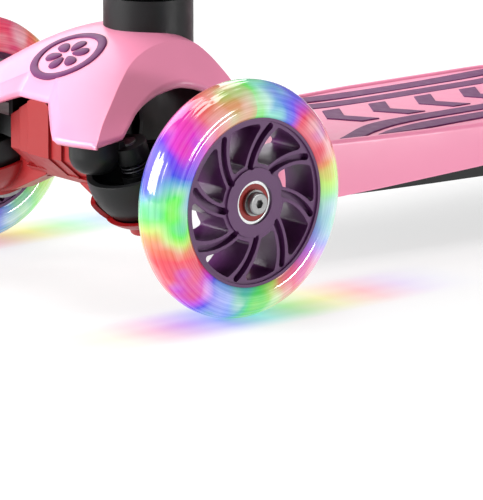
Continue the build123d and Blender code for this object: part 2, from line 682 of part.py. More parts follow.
EAR_HALF = 9.0
LEVER_X = 16.0
CLAMP_BOTTOM = CLAMP_Z - CLAMP_HALF_HEIGHT
CLAMP_BOLT_RADIUS = 2.5
CLAMP_AXIS = Plane(
    origin=(0, FRONT_AXLE_Y + COLUMN_Y + CLAMP_BOLT_Y, CLAMP_Z), x_dir=(0, 1, 0), z_dir=(1, 0, 0)
)
LEVER_PIVOT = Plane(origin=(LEVER_X, FRONT_AXLE_Y + COLUMN_Y + CLAMP_BOLT_Y, CLAMP_Z))
with BuildPart() as clamp_collar:
    with BuildSketch(COLUMN.offset(CLAMP_BOTTOM)):
        Circle(COLUMN_RADIUS + 5.5)
        with Locations((0, CLAMP_BOLT_Y - 4)):
            RectangleRounded(2 * EAR_HALF, 20, 3)
        Circle(COLUMN_RADIUS, mode=Mode.SUBTRACT)
        with Locations((0, CLAMP_BOLT_Y)):
            Rectangle(2.5, 34, mode=Mode.SUBTRACT)
    extrude(amount=COLUMN_TOP - CLAMP_BOTTOM)
    with BuildSketch(CLAMP_AXIS):
        Circle(CLAMP_BOLT_RADIUS)
    extrude(amount=30, both=True, mode=Mode.SUBTRACT)
    chamfer(edges().group_by(Axis.Z)[-1].filter_by(GeomType.CIRCLE).sort_by(SortBy.RADIUS)[-1], length=1.2)
save(clamp_collar.part, "clamp_collar")

with BuildPart() as clamp_bolt:
    add(ring(CLAMP_AXIS, 0, CLAMP_BOLT_RADIUS, -EAR_HALF - 5, LEVER_X - 3))
    add(ring(CLAMP_AXIS, 0, 5.0, -EAR_HALF - 5, -EAR_HALF))
    add(ring(CLAMP_AXIS, 0, 3.4, LEVER_X - 4, LEVER_X + 3))
    add(ring(LEVER_PIVOT, 0, CLAMP_BOLT_RADIUS, -6, 6))
save(clamp_bolt.part, "clamp_bolt")

with BuildPart() as clamp_lever:
    with BuildSketch(LEVER_PIVOT.offset(-9)):
        Circle(6.6)
        with BuildLine():
            Polyline((-2.5, 6), (10, 4), (16.5, -8), (17.5, -26), (15.5, -48), (18.5, -58))
            Polyline((18.5, -58), (14.2, -59), (10.8, -48), (12.4, -26), (11, -11), (5.5, -5), (-2.5, 6))
        make_face()
    extrude(amount=18)
    with BuildSketch(LEVER_PIVOT.offset(-3.8)):
        Circle(9.5)
        with Locations((-8, 0)):
            Rectangle(16, 19)
    extrude(amount=7.6, mode=Mode.SUBTRACT)
    with BuildSketch(LEVER_PIVOT.offset(-12)):
        Circle(CLAMP_BOLT_RADIUS + FIT)
    extrude(amount=24, mode=Mode.SUBTRACT)
save(clamp_lever.part, "clamp_lever")

BAR = Plane(origin=(0, FRONT_AXLE_Y + COLUMN_Y, BAR_Z), x_dir=(0, 1, 0), z_dir=(1, 0, 0))
TEE_BOTTOM = BAR_Z - 34.0
save(ring(COLUMN, STEM_BORE, STEM_RADIUS, STEM_BOTTOM, BAR_Z - 13.0), "t_bar_stem")

with BuildPart() as t_joint:
    add(ring(COLUMN, 0, STEM_RADIUS + 3.2, TEE_BOTTOM, BAR_Z))
    add(ring(BAR, 0, BAR_RADIUS + 4.5, -30, 30))
    fillet(edges().filter_by(GeomType.CIRCLE), radius=1.6)
    add(ring(BAR, 0, BAR_RADIUS, -40, 40), mode=Mode.SUBTRACT)
    add(ring(COLUMN, 0, STEM_RADIUS, TEE_BOTTOM - 5, BAR_Z - 13.0), mode=Mode.SUBTRACT)
save(t_joint.part, "t_joint")

save(ring(BAR, BAR_RADIUS - 1.8, BAR_RADIUS, -BAR_HALF_LENGTH, BAR_HALF_LENGTH), "handlebar")

GRIP_RIBS = 11
grip_outline = [(BAR_RADIUS, GRIP_INNER_X), (GRIP_RADIUS + 4, GRIP_INNER_X),
                (GRIP_RADIUS + 4, GRIP_INNER_X + 3.5), (GRIP_RADIUS, GRIP_INNER_X + 6)]
RIB_PITCH = (BAR_HALF_LENGTH - GRIP_INNER_X - 14) / GRIP_RIBS
for k in range(GRIP_RIBS):
    rib = GRIP_INNER_X + 9 + k * RIB_PITCH
    grip_outline += [(GRIP_RADIUS, rib), (GRIP_RADIUS - 1.2, rib + 1.5), (GRIP_RADIUS - 1.2, rib + 3.5),
                     (GRIP_RADIUS, rib + 5)]
grip_outline += [(GRIP_RADIUS, BAR_HALF_LENGTH), (BAR_RADIUS, BAR_HALF_LENGTH)]
save_pair(turned(grip_outline, BAR), "grip")

cap_outline = [
    (0, BAR_HALF_LENGTH), (GRIP_RADIUS + 1, BAR_HALF_LENGTH), (GRIP_RADIUS + 1.5, BAR_HALF_LENGTH + 3),
    (GRIP_RADIUS - 2, BAR_HALF_LENGTH + 5.5), (0, BAR_HALF_LENGTH + 6.5),
]
cap = turned(cap_outline, BAR)
with BuildPart() as grip_caps:
    add(cap)
    add(mirror(cap, about=Plane.YZ))
save(grip_caps.part, "grip_caps")

# ---------------------------------------------------------------- deck

DECK_FRONT = 72.0
DECK_OUTLINE = [
    (28, 72), (41, 79), (45.5, 104), (51, 141), (56, 180), (59.5, 212), (60, 330), (52, 370), (34, 394),
]


def deck_body(inset, low, high):
    """Solid under the deck's outline, moved inwards by inset."""
    mirrored = [(-x, y) for x, y in reversed(DECK_OUTLINE)]
    with BuildPart() as body:
        with BuildSketch(TOP.offset(low)):
            with BuildLine():
                FilletPolyline(*DECK_OUTLINE, *mirrored, radius=9, close=True)
            make_face()
            if inset:
                offset(amount=-inset, kind=Kind.INTERSECTION)
        extrude(amount=high - low)
    return body.part


TOP_PLATE = 4.0
DECK_FORK_Y = 386.0
with BuildPart() as deck:
    add(deck_body(0, DECK_BOTTOM, DECK_TOP))
    add(deck_body(DECK_WALL, DECK_BOTTOM - 1, DECK_TOP - TOP_PLATE), mode=Mode.SUBTRACT)
    with BuildSketch(TOP.offset(TONGUE_BOTTOM - 2)):
        with Locations((0, DECK_FRONT)):
            Rectangle(2 * BLOCK_HALF + 1, 30)
    extrude(amount=TONGUE_TOP + 0.5 - TONGUE_BOTTOM + 2, mode=Mode.SUBTRACT)
    with BuildSketch(FRONT.offset(-DECK_FORK_Y)):
        for sign in (-1, 1):
            with Locations((sign * (DROPOUT_INNER + DROPOUT_OUTER) / 2, DECK_BOTTOM - 1)):
                Rectangle(DROPOUT_OUTER - DROPOUT_INNER + 1, 24, align=(Align.CENTER, Align.MIN))
    extrude(amount=-20, mode=Mode.SUBTRACT)
    for rib_y in (170, 210, 250, 290, 330):
        with BuildSketch(FRONT.offset(-rib_y)):
            with Locations((0, 53)):
                Rectangle(2 * 46, 8, align=(Align.CENTER, Align.MIN))
        extrude(amount=2.5)
save(deck.part, "deck")

FORK_END = REAR_AXLE_Y - FRONT_AXLE_Y
SCREW_SPOTS = [(x, y) for y in (87, 121) for x in (-15, 15)] + [(x, y) for y in (190, 310) for x in (-40, 40)]
BOSS_TOP = {87: TONGUE_BOTTOM, 121: TONGUE_BOTTOM, 190: DECK_TOP - TOP_PLATE, 310: DECK_TOP - TOP_PLATE}
with BuildPart() as deck_tray:
    add(deck_body(DECK_WALL + 0.3, TRAY_BOTTOM, 52))
    add(deck_body(DECK_WALL + 3.3, TRAY_BOTTOM + TRAY_FLOOR, 60), mode=Mode.SUBTRACT)
    with BuildSketch(TOP.offset(TRAY_BOTTOM + TRAY_FLOOR)):
        with Locations((0, DECK_FRONT)):
            Rectangle(2 * BLOCK_HALF + 2, 40)
    extrude(amount=40, mode=Mode.SUBTRACT)
    for x, y in SCREW_SPOTS:
        with BuildSketch(TOP.offset(TRAY_BOTTOM)):
            with Locations((x, y)):
                Circle(5.5)
        extrude(amount=BOSS_TOP[y] - TRAY_BOTTOM)
    for sign in (-1, 1):
        with BuildSketch(SIDE.offset(sign * DROPOUT_INNER)):
            Polygon((360, TRAY_BOTTOM), (360, 52), (400, 56), (FORK_END - 6, 50), (FORK_END, 31),
                    (FORK_END - 20, 30), (398, TRAY_BOTTOM), align=None)
            with Locations((FORK_END, REAR_RADIUS)):
                Circle(10)
        extrude(amount=sign * (DROPOUT_OUTER - DROPOUT_INNER))
    with BuildSketch(REAR_WHEEL.offset(-40)):
        Circle(AXLE_RADIUS)
    extrude(amount=80, mode=Mode.SUBTRACT)
    with BuildSketch(SIDE):
        with Locations((FORK_END, REAR_RADIUS)):
            Circle(REAR_RADIUS + 3)
    extrude(amount=DROPOUT_INNER, both=True, mode=Mode.SUBTRACT)
    with BuildSketch(TOP.offset(TRAY_BOTTOM - 1)):
        with Locations(*SCREW_SPOTS):
            Circle(2.0)
    extrude(amount=40, mode=Mode.SUBTRACT)
    with BuildSketch(TOP.offset(TRAY_BOTTOM)):
        with Locations(*SCREW_SPOTS):
            Circle(4.0)
    extrude(amount=3.0, mode=Mode.SUBTRACT)
    with BuildSketch(BRAKE_PIN):
        Circle(BRAKE_PIN_RADIUS)
    extrude(amount=40, both=True, mode=Mode.SUBTRACT)
save(deck_tray.part, "deck_tray")

with BuildPart() as deck_screws:
    for x, y in SCREW_SPOTS:
        shaft = Plane(origin=(x, FRONT_AXLE_Y + y, 0))
        add(ring(shaft, 0, 2.0, TRAY_BOTTOM + 3, BOSS_TOP[y] + (10 if y < 130 else 0)))
        add(ring(shaft, 0, 3.9, TRAY_BOTTOM + 0.6, TRAY_BOTTOM + 3))
save(deck_screws.part, "deck_screws")

BAND_GAPS = ((3.6, 8.2), (11.6, 16.2))
with BuildPart() as deck_grip:
    for outer, inner in BAND_GAPS:
        add(deck_body(outer, DECK_TOP, DECK_TOP + GRIP_PAD_HEIGHT))
        add(deck_body(inner, DECK_TOP, DECK_TOP + GRIP_PAD_HEIGHT), mode=Mode.SUBTRACT)
    with BuildSketch(TOP.offset(DECK_TOP)):
        for row in range(7):
            for sign in (-1, 1):
                with Locations((sign * 11, 140 + 34 * row)):
                    Rectangle(26, 8, rotation=sign * 32)
    extrude(amount=GRIP_PAD_HEIGHT)
save(deck_grip.part, "deck_grip")

# ---------------------------------------------------------------- rear brake

FENDER_START = 150.0
FENDER_SWEEP = -114.0
with BuildPart() as brake_fender:
    start = spun(REAR_WHEEL, FENDER_START + FENDER_SWEEP)
    with BuildSketch(section(start)):
        with Locations((FENDER_INNER + FENDER_WALL / 2, 0)):
            Rectangle(FENDER_WALL, 2 * FENDER_HALF_WIDTH)
        for sign in (-1, 1):
            with Locations((FENDER_INNER - FENDER_FLANGE / 2, sign * (FENDER_HALF_WIDTH - 1.5))):
                Rectangle(FENDER_FLANGE, 3.0)
    revolve(axis=Axis(REAR_WHEEL.origin, REAR_WHEEL.z_dir), revolution_arc=-FENDER_SWEEP)
    with BuildSketch(SIDE.offset(-DROPOUT_INNER + 0.5)):
        with Locations((BRAKE_PIN_Y - FRONT_AXLE_Y, BRAKE_PIN_Z)):
            Circle(5.0)
        Polygon((BRAKE_PIN_Y - FRONT_AXLE_Y - 2, 54), (BRAKE_PIN_Y - FRONT_AXLE_Y + 4, 48),
                (FORK_END - 38, 62), (FORK_END - 36, 72), (BRAKE_PIN_Y - FRONT_AXLE_Y + 4, 62), align=None)
    extrude(amount=2 * DROPOUT_INNER - 1)
    add(ring(REAR_WHEEL, 0, FENDER_INNER, -30, 30), mode=Mode.SUBTRACT)
    add(ring(BRAKE_PIN, 0, BRAKE_PIN_RADIUS + FIT, -30, 30), mode=Mode.SUBTRACT)
    add(ring(BRAKE_PIN, 0, 6.5, -5.5, 5.5), mode=Mode.SUBTRACT)
save(brake_fender.part, "brake_fender")

PAD_THICKNESS = 3.3
with BuildPart() as brake_pad:
    with BuildSketch(section(spun(REAR_WHEEL, 78.0))):
        with Locations((FENDER_INNER - PAD_THICKNESS / 2, 0)):
            Rectangle(PAD_THICKNESS, 18.0)
    revolve(axis=Axis(REAR_WHEEL.origin, REAR_WHEEL.z_dir), revolution_arc=46.0)
save(brake_pad.part, "brake_pad")

save(ring(BRAKE_PIN, 0, BRAKE_PIN_RADIUS, -DROPOUT_OUTER - 1, DROPOUT_OUTER + 1), "brake_pin")

BRAKE_COIL_RADIUS = 4.2
with BuildPart() as brake_spring:
    with BuildLine():
        brake_coil = Helix(pitch=1.6, height=8.0, radius=BRAKE_COIL_RADIUS,
                           center=BRAKE_PIN.offset(-4.0).origin, direction=BRAKE_PIN.z_dir)
    with BuildSketch(Plane(brake_coil @ 0, z_dir=brake_coil % 0)):
        Circle(0.6)
    sweep(is_frenet=True)
save(brake_spring.part, "brake_spring")
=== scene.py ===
"""Blender scene for the three-wheeled kick scooter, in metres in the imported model's frame."""
import json
import math

import bmesh
import bpy
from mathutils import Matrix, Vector


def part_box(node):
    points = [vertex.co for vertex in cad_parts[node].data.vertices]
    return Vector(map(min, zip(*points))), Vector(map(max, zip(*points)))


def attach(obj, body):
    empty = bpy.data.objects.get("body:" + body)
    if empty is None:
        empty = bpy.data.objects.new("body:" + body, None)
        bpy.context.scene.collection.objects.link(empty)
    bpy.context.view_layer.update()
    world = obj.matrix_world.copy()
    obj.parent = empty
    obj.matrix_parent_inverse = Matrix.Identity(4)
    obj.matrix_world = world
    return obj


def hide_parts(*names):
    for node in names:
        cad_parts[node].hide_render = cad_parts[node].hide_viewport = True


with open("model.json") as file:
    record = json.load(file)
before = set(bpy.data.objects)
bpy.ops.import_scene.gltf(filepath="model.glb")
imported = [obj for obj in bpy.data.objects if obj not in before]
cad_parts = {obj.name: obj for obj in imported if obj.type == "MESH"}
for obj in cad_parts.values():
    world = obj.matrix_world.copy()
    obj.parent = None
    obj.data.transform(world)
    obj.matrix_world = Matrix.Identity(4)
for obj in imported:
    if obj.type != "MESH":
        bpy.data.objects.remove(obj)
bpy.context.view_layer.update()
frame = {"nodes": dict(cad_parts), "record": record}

MM = 0.001
LEFT_LOW, LEFT_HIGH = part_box("tyre_left")
REAR_LOW, REAR_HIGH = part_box("tyre_rear")
FRONT_Y = (LEFT_LOW.y + LEFT_HIGH.y) / 2
FRONT_R = (LEFT_HIGH.z - LEFT_LOW.z) / 2
WHEEL_X = (LEFT_LOW.x + LEFT_HIGH.x) / 2
REAR_Y = (REAR_LOW.y + REAR_HIGH.y) / 2
REAR_R = (REAR_HIGH.z - REAR_LOW.z) / 2


def srgb(red, green, blue):
    """Linear RGBA from 0-255 sRGB values."""
    def linear(value):
        value /= 255.0
        return value / 12.92 if value <= 0.04045 else ((value + 0.055) / 1.055) ** 2.4
    return (linear(red), linear(green), linear(blue), 1.0)


def grey(value):
    """Linear RGBA of a neutral tone."""
    return (value, value, value, 1.0)


BLACK = grey(0.0)
WHITE = grey(1.0)


def truck(x, y, z):
    """Point given in millimetres from the floor under the middle of the front axle."""
    return Vector((x * MM, FRONT_Y + y * MM, z * MM))


# ---------------------------------------------------------------- camera

CAMERA_FROM_AXLE = Vector((2.3334, -1.8453, 0.7066))
CAMERA_AZIMUTH = math.radians(50.3)
CAMERA_ELEVATION = math.radians(13.1)
CAMERA_LENS = 432.0
SENSOR_WIDTH = 36.0
CLIP_RANGE = (0.05, 100.0)
camera_data = bpy.data.cameras.new("camera")
camera = bpy.data.objects.new("camera", camera_data)
bpy.context.scene.collection.objects.link(camera)
camera.location = Vector((0, FRONT_Y, 0)) + CAMERA_FROM_AXLE
look = Vector((
    -math.sin(CAMERA_AZIMUTH) * math.cos(CAMERA_ELEVATION),
    math.cos(CAMERA_AZIMUTH) * math.cos(CAMERA_ELEVATION),
    -math.sin(CAMERA_ELEVATION),
))
camera.rotation_euler = look.to_track_quat("-Z", "Y").to_euler()
camera_data.lens = CAMERA_LENS
camera_data.sensor_width = SENSOR_WIDTH
camera_data.clip_start, camera_data.clip_end = CLIP_RANGE
bpy.context.scene.camera = camera


# ---------------------------------------------------------------- material helpers


# Radius of the rounded edges.
MOULDED_EDGE = 0.0005
METAL_EDGE = 0.0003
# Scales of the noise that varies colour, gloss and grain.
DRIFT_SCALE = 22.0
GLOSS_SCALE = 180.0
GRAIN_SCALE = 2600.0
RUBBER_DRIFT_SCALE = 60.0
PEBBLE_SCALE = 1500.0
CAST_GLOSS_SCALE = 300.0
CAST_WAVE_SCALE = 90.0


class Nodes:
    """Short calls for building a material's nodes."""

    def __init__(self, name):
        self.material = bpy.data.materials.new(name)
        self.material.use_nodes = True
        self.tree = self.material.node_tree
        self.shader = self.tree.nodes["Principled BSDF"]
        coordinates = self.tree.nodes.new("ShaderNodeTexCoord")
        self.position = coordinates.outputs["Object"]

    def add(self, kind, inputs=(), **settings):
        """A new node with its inputs linked or set, by name or number."""
        node = self.tree.nodes.new(kind)
        for key, value in settings.items():
            setattr(node, key, value)
        for key, value in dict(inputs).items():
            if isinstance(value, bpy.types.NodeSocket):
                self.tree.links.new(value, node.inputs[key])
            else:
                node.inputs[key].default_value = value
        return node

    def math(self, operation, first, second=0.0, clamp=False):
        """Result of a sum on one or two values."""
        inputs = {0: first, 1: second}
        node = self.add("ShaderNodeMath", inputs, operation=operation, use_clamp=clamp)
        return node.outputs[0]

    def mix(self, share, first, second):
        """Two colours mixed, from the first at 0 to the second at 1."""
        node = self.add("ShaderNodeMix", {0: share, 6: first, 7: second}, data_type="RGBA")
        return node.outputs[2]

    def noise(self, scale, detail=3.0, vector=None):
        """Smooth noise from 0 to 1 over the piece."""
        inputs = {"Vector": vector or self.position, "Scale": scale, "Detail": detail}
        return self.add("ShaderNodeTexNoise", inputs).outputs["Fac"]

    def ramp(self, factor, stops, interpolation="LINEAR"):
        """Colour along a list of (position, colour) stops."""
        node = self.add("ShaderNodeValToRGB", {"Fac": factor})
        ramp = node.color_ramp
        ramp.interpolation = interpolation
        while len(ramp.elements) > 1:
            ramp.elements.remove(ramp.elements[-1])
        ramp.elements[0].position = stops[0][0]
        ramp.elements[0].color = stops[0][1]
        for position, color in stops[1:]:
            ramp.elements.new(position).color = color
        return node.outputs["Color"]

    def remap(self, value, low, high, from_low=0.0, from_high=1.0):
        """Value mapped from one range to another, held at its ends."""
        inputs = {"Value": value, "From Min": from_low, "From Max": from_high}
        inputs.update({"To Min": low, "To Max": high})
        return self.add("ShaderNodeMapRange", inputs).outputs["Result"]

    def soft_edge(self, radius):
        """Normal that rounds the piece's edges."""
        return self.add("ShaderNodeBevel", {"Radius": radius}, samples=4).outputs["Normal"]

    def bump(self, height, strength, distance, normal=None):
        """Normal tilted by a height, on top of another normal if one is given."""
        inputs = {"Height": height, "Strength": strength, "Distance": distance}
        if normal is not None:
            inputs["Normal"] = normal
        return self.add("ShaderNodeBump", inputs).outputs["Normal"]

    def feed(self, **links):
        """Link or set the shader's sockets; an underscore stands for a space."""
        for key, value in links.items():
            socket = self.shader.inputs[key.replace("_", " ")]
            if isinstance(value, bpy.types.NodeSocket):
                self.tree.links.new(value, socket)
            else:
                socket.default_value = value


def shade(color, factor):
    """A colour made lighter or darker."""
    return tuple(min(value * factor, 1.0) for value in color[:3]) + (1.0,)


def plastic(name, color, roughness=0.35, grain=0.00006, coat=0.15, spread=0.05, gloss=0.5):
    """Moulded plastic: faint colour drift, fine moulded grain, soft edges and uneven gloss."""
    n = Nodes(name)
    tones = [(0.3, shade(color, 1 - spread)), (0.7, shade(color, 1 + spread))]
    n.feed(Base_Color=n.ramp(n.noise(DRIFT_SCALE), tones))
    uneven = n.noise(GLOSS_SCALE, 4.0)
    n.feed(Roughness=n.remap(uneven, roughness - 0.06, roughness + 0.06, 0.3, 0.7))
    moulded = n.noise(GRAIN_SCALE, 2.0)
    n.feed(Normal=n.bump(moulded, 0.35, grain, n.soft_edge(MOULDED_EDGE)))
    n.feed(Coat_Weight=coat, Coat_Roughness=0.18, IOR=1.5, Specular_IOR_Level=gloss)
    return n.material


def metal(name, color, roughness, lines=(40.0, 1400.0, 1400.0)):
    """Plated or turned metal: fine drawn lines, uneven roughness."""
    n = Nodes(name)
    stretched = n.add("ShaderNodeMapping", {"Vector": n.position, "Scale": lines})
    marks = n.noise(1.0, 4.0, stretched.outputs["Vector"])
    n.feed(Base_Color=n.ramp(marks, [(0.25, shade(color, 0.82)), (0.75, shade(color, 1.08))]))
    n.feed(Roughness=n.remap(marks, roughness - 0.07, roughness + 0.1, 0.25, 0.75))
    n.feed(Normal=n.bump(marks, 0.2, 0.00004, n.soft_edge(METAL_EDGE)), Metallic=1.0)
    return n.material


def rubber(name, color, roughness=0.6):
    """Moulded rubber with a fine pebbled surface."""
    n = Nodes(name)
    cells = n.add("ShaderNodeTexVoronoi", {"Vector": n.position, "Scale": PEBBLE_SCALE})
    pebble = cells.outputs["Distance"]
    tones = [(0.3, shade(color, 0.85)), (0.7, shade(color, 1.2))]
    n.feed(Base_Color=n.ramp(n.noise(RUBBER_DRIFT_SCALE), tones))
    n.feed(Roughness=n.remap(pebble, roughness - 0.08, roughness + 0.1))
    n.feed(Normal=n.bump(pebble, 0.3, 0.0002))
    return n.material


# Colours round a lit tyre: degrees from the top towards the rear, then sRGB values.
NEAR_COLOURS = [
    (0, (120, 240, 110)), (10, (150, 240, 215)), (20, (90, 130, 240)), (30, (110, 80, 245)),
    (40, (200, 50, 200)), (50, (240, 45, 90)), (62, (238, 80, 92)), (72, (240, 155, 80)),
    (82, (205, 250, 110)), (94, (175, 250, 160)), (105, (165, 225, 225)), (117, (150, 165, 248)),
    (130, (205, 125, 240)), (146, (245, 105, 145)), (160, (235, 140, 110)), (171, (190, 225, 85)),
    (184, (85, 225, 100)), (200, (80, 140, 245)), (210, (65, 55, 240)), (220, (200, 60, 235)),
    (230, (238, 60, 105)), (240, (248, 45, 75)), (250, (240, 125, 80)), (260, (195, 240, 70)),
    (270, (80, 245, 60)), (280, (95, 190, 215)), (291, (70, 80, 240)), (302, (125, 60, 245)),
    (312, (235, 50, 210)), (326, (243, 50, 92)), (345, (235, 140, 100)), (360, (120, 240, 110)),
]
FAR_COLOURS = [
    (0, (255, 60, 95)), (20, (235, 60, 120)), (36, (240, 100, 80)), (50, (245, 190, 90)),
    (62, (180, 225, 90)), (80, (100, 220, 150)), (100, (130, 200, 240)), (116, (225, 235, 110)),
    (132, (190, 240, 120)), (150, (120, 225, 130)), (166, (90, 170, 220)), (180, (90, 90, 240)),
    (200, (190, 80, 230)), (222, (250, 70, 90)), (245, (250, 190, 80)), (268, (110, 235, 110)),
    (290, (120, 210, 240)), (310, (130, 90, 245)), (330, (240, 80, 200)), (360, (255, 60, 95)),
]
# How far the colours stray round the tyre, in turns, and the scale on which they do.
TYRE_WOBBLE = 0.035
WOBBLE_SCALE = 48.0
# Radii between which the glow changes, and its brightness from the rim at 0 to the tread at 1; the
# bright middle is partly the lamps' glow and partly a painted highlight band.
LIT_FROM, LIT_TO = 0.042, 0.060
GLOW_BAND = [
    (0.0, grey(0.15)), (0.22, grey(0.55)), (0.5, WHITE), (0.75, grey(0.7)), (1.0, grey(0.35)),
]
# Pale patches of painted highlight, fine moulded rings in the cast plastic lightened partly by
# painted highlight, and how much each whitens the colour.
HIGHLIGHT_PATCH_SCALE = 60.0
RING_SCALE = 850.0
HIGHLIGHT_PATCH_WEIGHT, RING_WEIGHT = 0.4, 0.1
# How much darker the surface is than its glow, and what the glow's strength is made of.
SURFACE_DIMMING = 0.62
GLOW_BASE, GLOW_FROM_BAND, GLOW_FROM_RINGS = 0.6, 0.25, 0.22


def angle_round_axle(n):
    """Turn round the front axle, from 0 at the top through the rear to 1, and the radius."""
    parts = n.add("ShaderNodeSeparateXYZ", {0: n.position})
    along = n.math("SUBTRACT", parts.outputs["Y"], FRONT_Y)
    up = n.math("SUBTRACT", parts.outputs["Z"], FRONT_R)
    turn = n.math("DIVIDE", n.math("ARCTAN2", along, up), 2 * math.pi)
    squares = n.math("ADD", n.math("MULTIPLY", along, along), n.math("MULTIPLY", up, up))
    return n.math("FRACT", n.math("ADD", turn, 1.0)), n.math("SQRT", squares)


def lit_tyre(name, colours, glow):
    """Clear cast tyre lit by the lamps inside: patches of colour, pale where the light is near,
    partly the lamps' glow and partly painted highlights.
    """
    n = Nodes(name)
    turn, radius = angle_round_axle(n)
    wobble = n.remap(n.noise(WOBBLE_SCALE, 1.0), -TYRE_WOBBLE, TYRE_WOBBLE, 0.25, 0.75)
    stops = [(angle / 360.0, srgb(*color)) for angle, color in colours]
    color = n.ramp(n.math("ADD", turn, wobble, clamp=True), stops)
    band = n.ramp(n.remap(radius, 0.0, 1.0, LIT_FROM, LIT_TO), GLOW_BAND)
    # Painted highlights: pale noise patches and lightened moulded rings whiten the colour within
    # the bright band.
    highlight_patch = n.ramp(n.noise(HIGHLIGHT_PATCH_SCALE, 1.0), [(0.48, BLACK), (0.66, WHITE)])
    spread = n.add("ShaderNodeCombineXYZ", {0: n.math("MULTIPLY", radius, RING_SCALE)})
    rings = n.ramp(n.noise(1.0, 2.0, spread.outputs[0]), [(0.38, BLACK), (0.62, WHITE)])
    patches = n.math("MULTIPLY", highlight_patch, HIGHLIGHT_PATCH_WEIGHT)
    pale = n.math("MULTIPLY", n.math("ADD", patches, n.math("MULTIPLY", rings, RING_WEIGHT)), band)
    lit = n.mix(pale, color, WHITE)
    from_band = n.math("MULTIPLY", band, GLOW_FROM_BAND)
    level = n.math("ADD", from_band, n.math("MULTIPLY", rings, GLOW_FROM_RINGS))
    strength = n.math("MULTIPLY", n.math("ADD", level, GLOW_BASE), glow)
    n.feed(Base_Color=n.mix(SURFACE_DIMMING, lit, BLACK))
    n.feed(Emission_Color=lit, Emission_Strength=strength)
    n.feed(Roughness=n.remap(n.noise(CAST_GLOSS_SCALE), 0.04, 0.12), IOR=1.5)
    n.feed(Coat_Weight=1.0, Coat_Roughness=0.03)
    n.feed(Normal=n.bump(n.noise(CAST_WAVE_SCALE, 2.0), 0.12, 0.0006))
    return n.material


BLACK_GRAIN = 0.00012
TUBE_LINES = (900.0, 900.0, 30.0)
NEAR_GLOW_STRENGTH, FAR_GLOW_STRENGTH = 0.66, 0.62
# The materials by slot: colour and roughness, then what differs from the usual.
MATERIALS = {
    "pink_plastic": plastic("pink_plastic", srgb(250, 150, 184), 0.36, coat=0.25, spread=0.02),
    "purple_core": plastic("purple_core", srgb(88, 40, 92), 0.36),
    "purple_inlay": plastic("purple_inlay", srgb(104, 40, 96), 0.46, coat=0.0, gloss=0.3),
    "red_plastic": plastic("red_plastic", srgb(144, 13, 17), 0.4, coat=0.06, gloss=0.45),
    "black_plastic": plastic("black_plastic", srgb(16, 17, 18), 0.42, BLACK_GRAIN, 0.0, gloss=0.3),
    "black_paint": plastic("black_paint", srgb(14, 14, 16), 0.36, coat=0.05, gloss=0.4),
    "anodised_tube": metal("anodised_tube", (0.72, 0.73, 0.76, 1), 0.32, TUBE_LINES),
    "nylon": plastic("nylon", srgb(226, 226, 220), 0.5),
    "zinc_steel": metal("zinc_steel", grey(0.30), 0.34),
    "spring_steel": metal("spring_steel", (0.10, 0.10, 0.11, 1), 0.4),
    "bearing_steel": metal("bearing_steel", (0.80, 0.81, 0.82, 1), 0.16),
    "red_seal": rubber("red_seal", srgb(150, 22, 14), 0.5),
    "milky_tyre": plastic("milky_tyre", srgb(238, 226, 238), 0.18, coat=0.8, spread=0.03),
    "lamp": plastic("lamp", srgb(250, 248, 232), 0.2, coat=0.6),
    "grip_rubber": rubber("grip_rubber", srgb(46, 44, 46)),
    "lit_clear_tyre": lit_tyre("lit_clear_tyre", NEAR_COLOURS, NEAR_GLOW_STRENGTH),
}
FAR_TYRE = lit_tyre("lit_clear_tyre_far", FAR_COLOURS, FAR_GLOW_STRENGTH)


def paint(obj, material):
    """Give an object one material."""
    obj.data.materials.clear()
    obj.data.materials.append(material)


for part in frame["record"]["subparts"]:
    paint(frame["nodes"][part["node"]], MATERIALS[part["material_slot"]])


# ---------------------------------------------------------------- mesh helpers


def mesh_piece(name, points, faces, material, smooth=True):
    """A new mesh object from points in metres, with its normals pointing outwards."""
    mesh = bpy.data.meshes.new(name)
    mesh.from_pydata([tuple(p) for p in points], [], faces)
    work = bmesh.new()
    work.from_mesh(mesh)
    bmesh.ops.remove_doubles(work, verts=work.verts, dist=1e-6)
    bmesh.ops.recalc_face_normals(work, faces=work.faces)
    work.to_mesh(mesh)
    work.free()
    for polygon in mesh.polygons:
        polygon.use_smooth = smooth
    obj = bpy.data.objects.new(name, mesh)
    bpy.context.scene.collection.objects.link(obj)
    paint(obj, material)
    return obj


def grid_faces(rows, count, rows_closed=False, row_closed=True):
    """Four-sided faces between neighbouring rows of count points each."""
    faces = []
    for row in range(rows if rows_closed else rows - 1):
        here, after = row * count, (row + 1) % rows * count
        for k in range(count if row_closed else count - 1):
            beside = (k + 1) % count
            faces.append((here + k, here + beside, after + beside, after + k))
    return faces


def joined_piece(name, shapes, material, smooth=True):
    """One mesh object from several shapes, each its points in millimetres and its faces."""
    points, faces = [], []
    for shape_points, shape_faces in shapes:
        base = len(points)
        points += [truck(*p) for p in shape_points]
        faces += [tuple(base + corner for corner in face) for face in shape_faces]
    return mesh_piece(name, points, faces, material, smooth)


def place(obj, body, slot, *nodes):
    """Ride on a body and stand for the CAD nodes; slot is not used."""
    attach(obj, body)
    if nodes:
        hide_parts(*nodes)


def modifier(obj, kind, **settings):
    """Add a modifier and set it."""
    added = obj.modifiers.new(kind.lower(), kind)
    for key, value in settings.items():
        setattr(added, key, value)


def clamped(value):
    """Value held between 0 and 1."""
    return min(max(value, 0.0), 1.0)


def between(table, value):
    """The other columns of a sorted table, interpolated smoothly at value in its first."""
    for k in range(len(table) - 1):
        if value <= table[k + 1][0]:
            break
    rows = [table[max(k - 1, 0)], table[k], table[k + 1], table[min(k + 2, len(table) - 1)]]
    step = clamped((value - rows[1][0]) / (rows[2][0] - rows[1][0]))
    result = []
    for column in range(1, len(table[0])):
        p0, p1, p2, p3 = (row[column] for row in rows)
        square = 2 * p0 - 5 * p1 + 4 * p2 - p3
        cube = 3 * p1 - p0 - 3 * p2 + p3
        result.append(0.5 * (2 * p1 + (p2 - p0) * step + square * step ** 2 + cube * step ** 3))
    return result


# ---------------------------------------------------------------- tyres

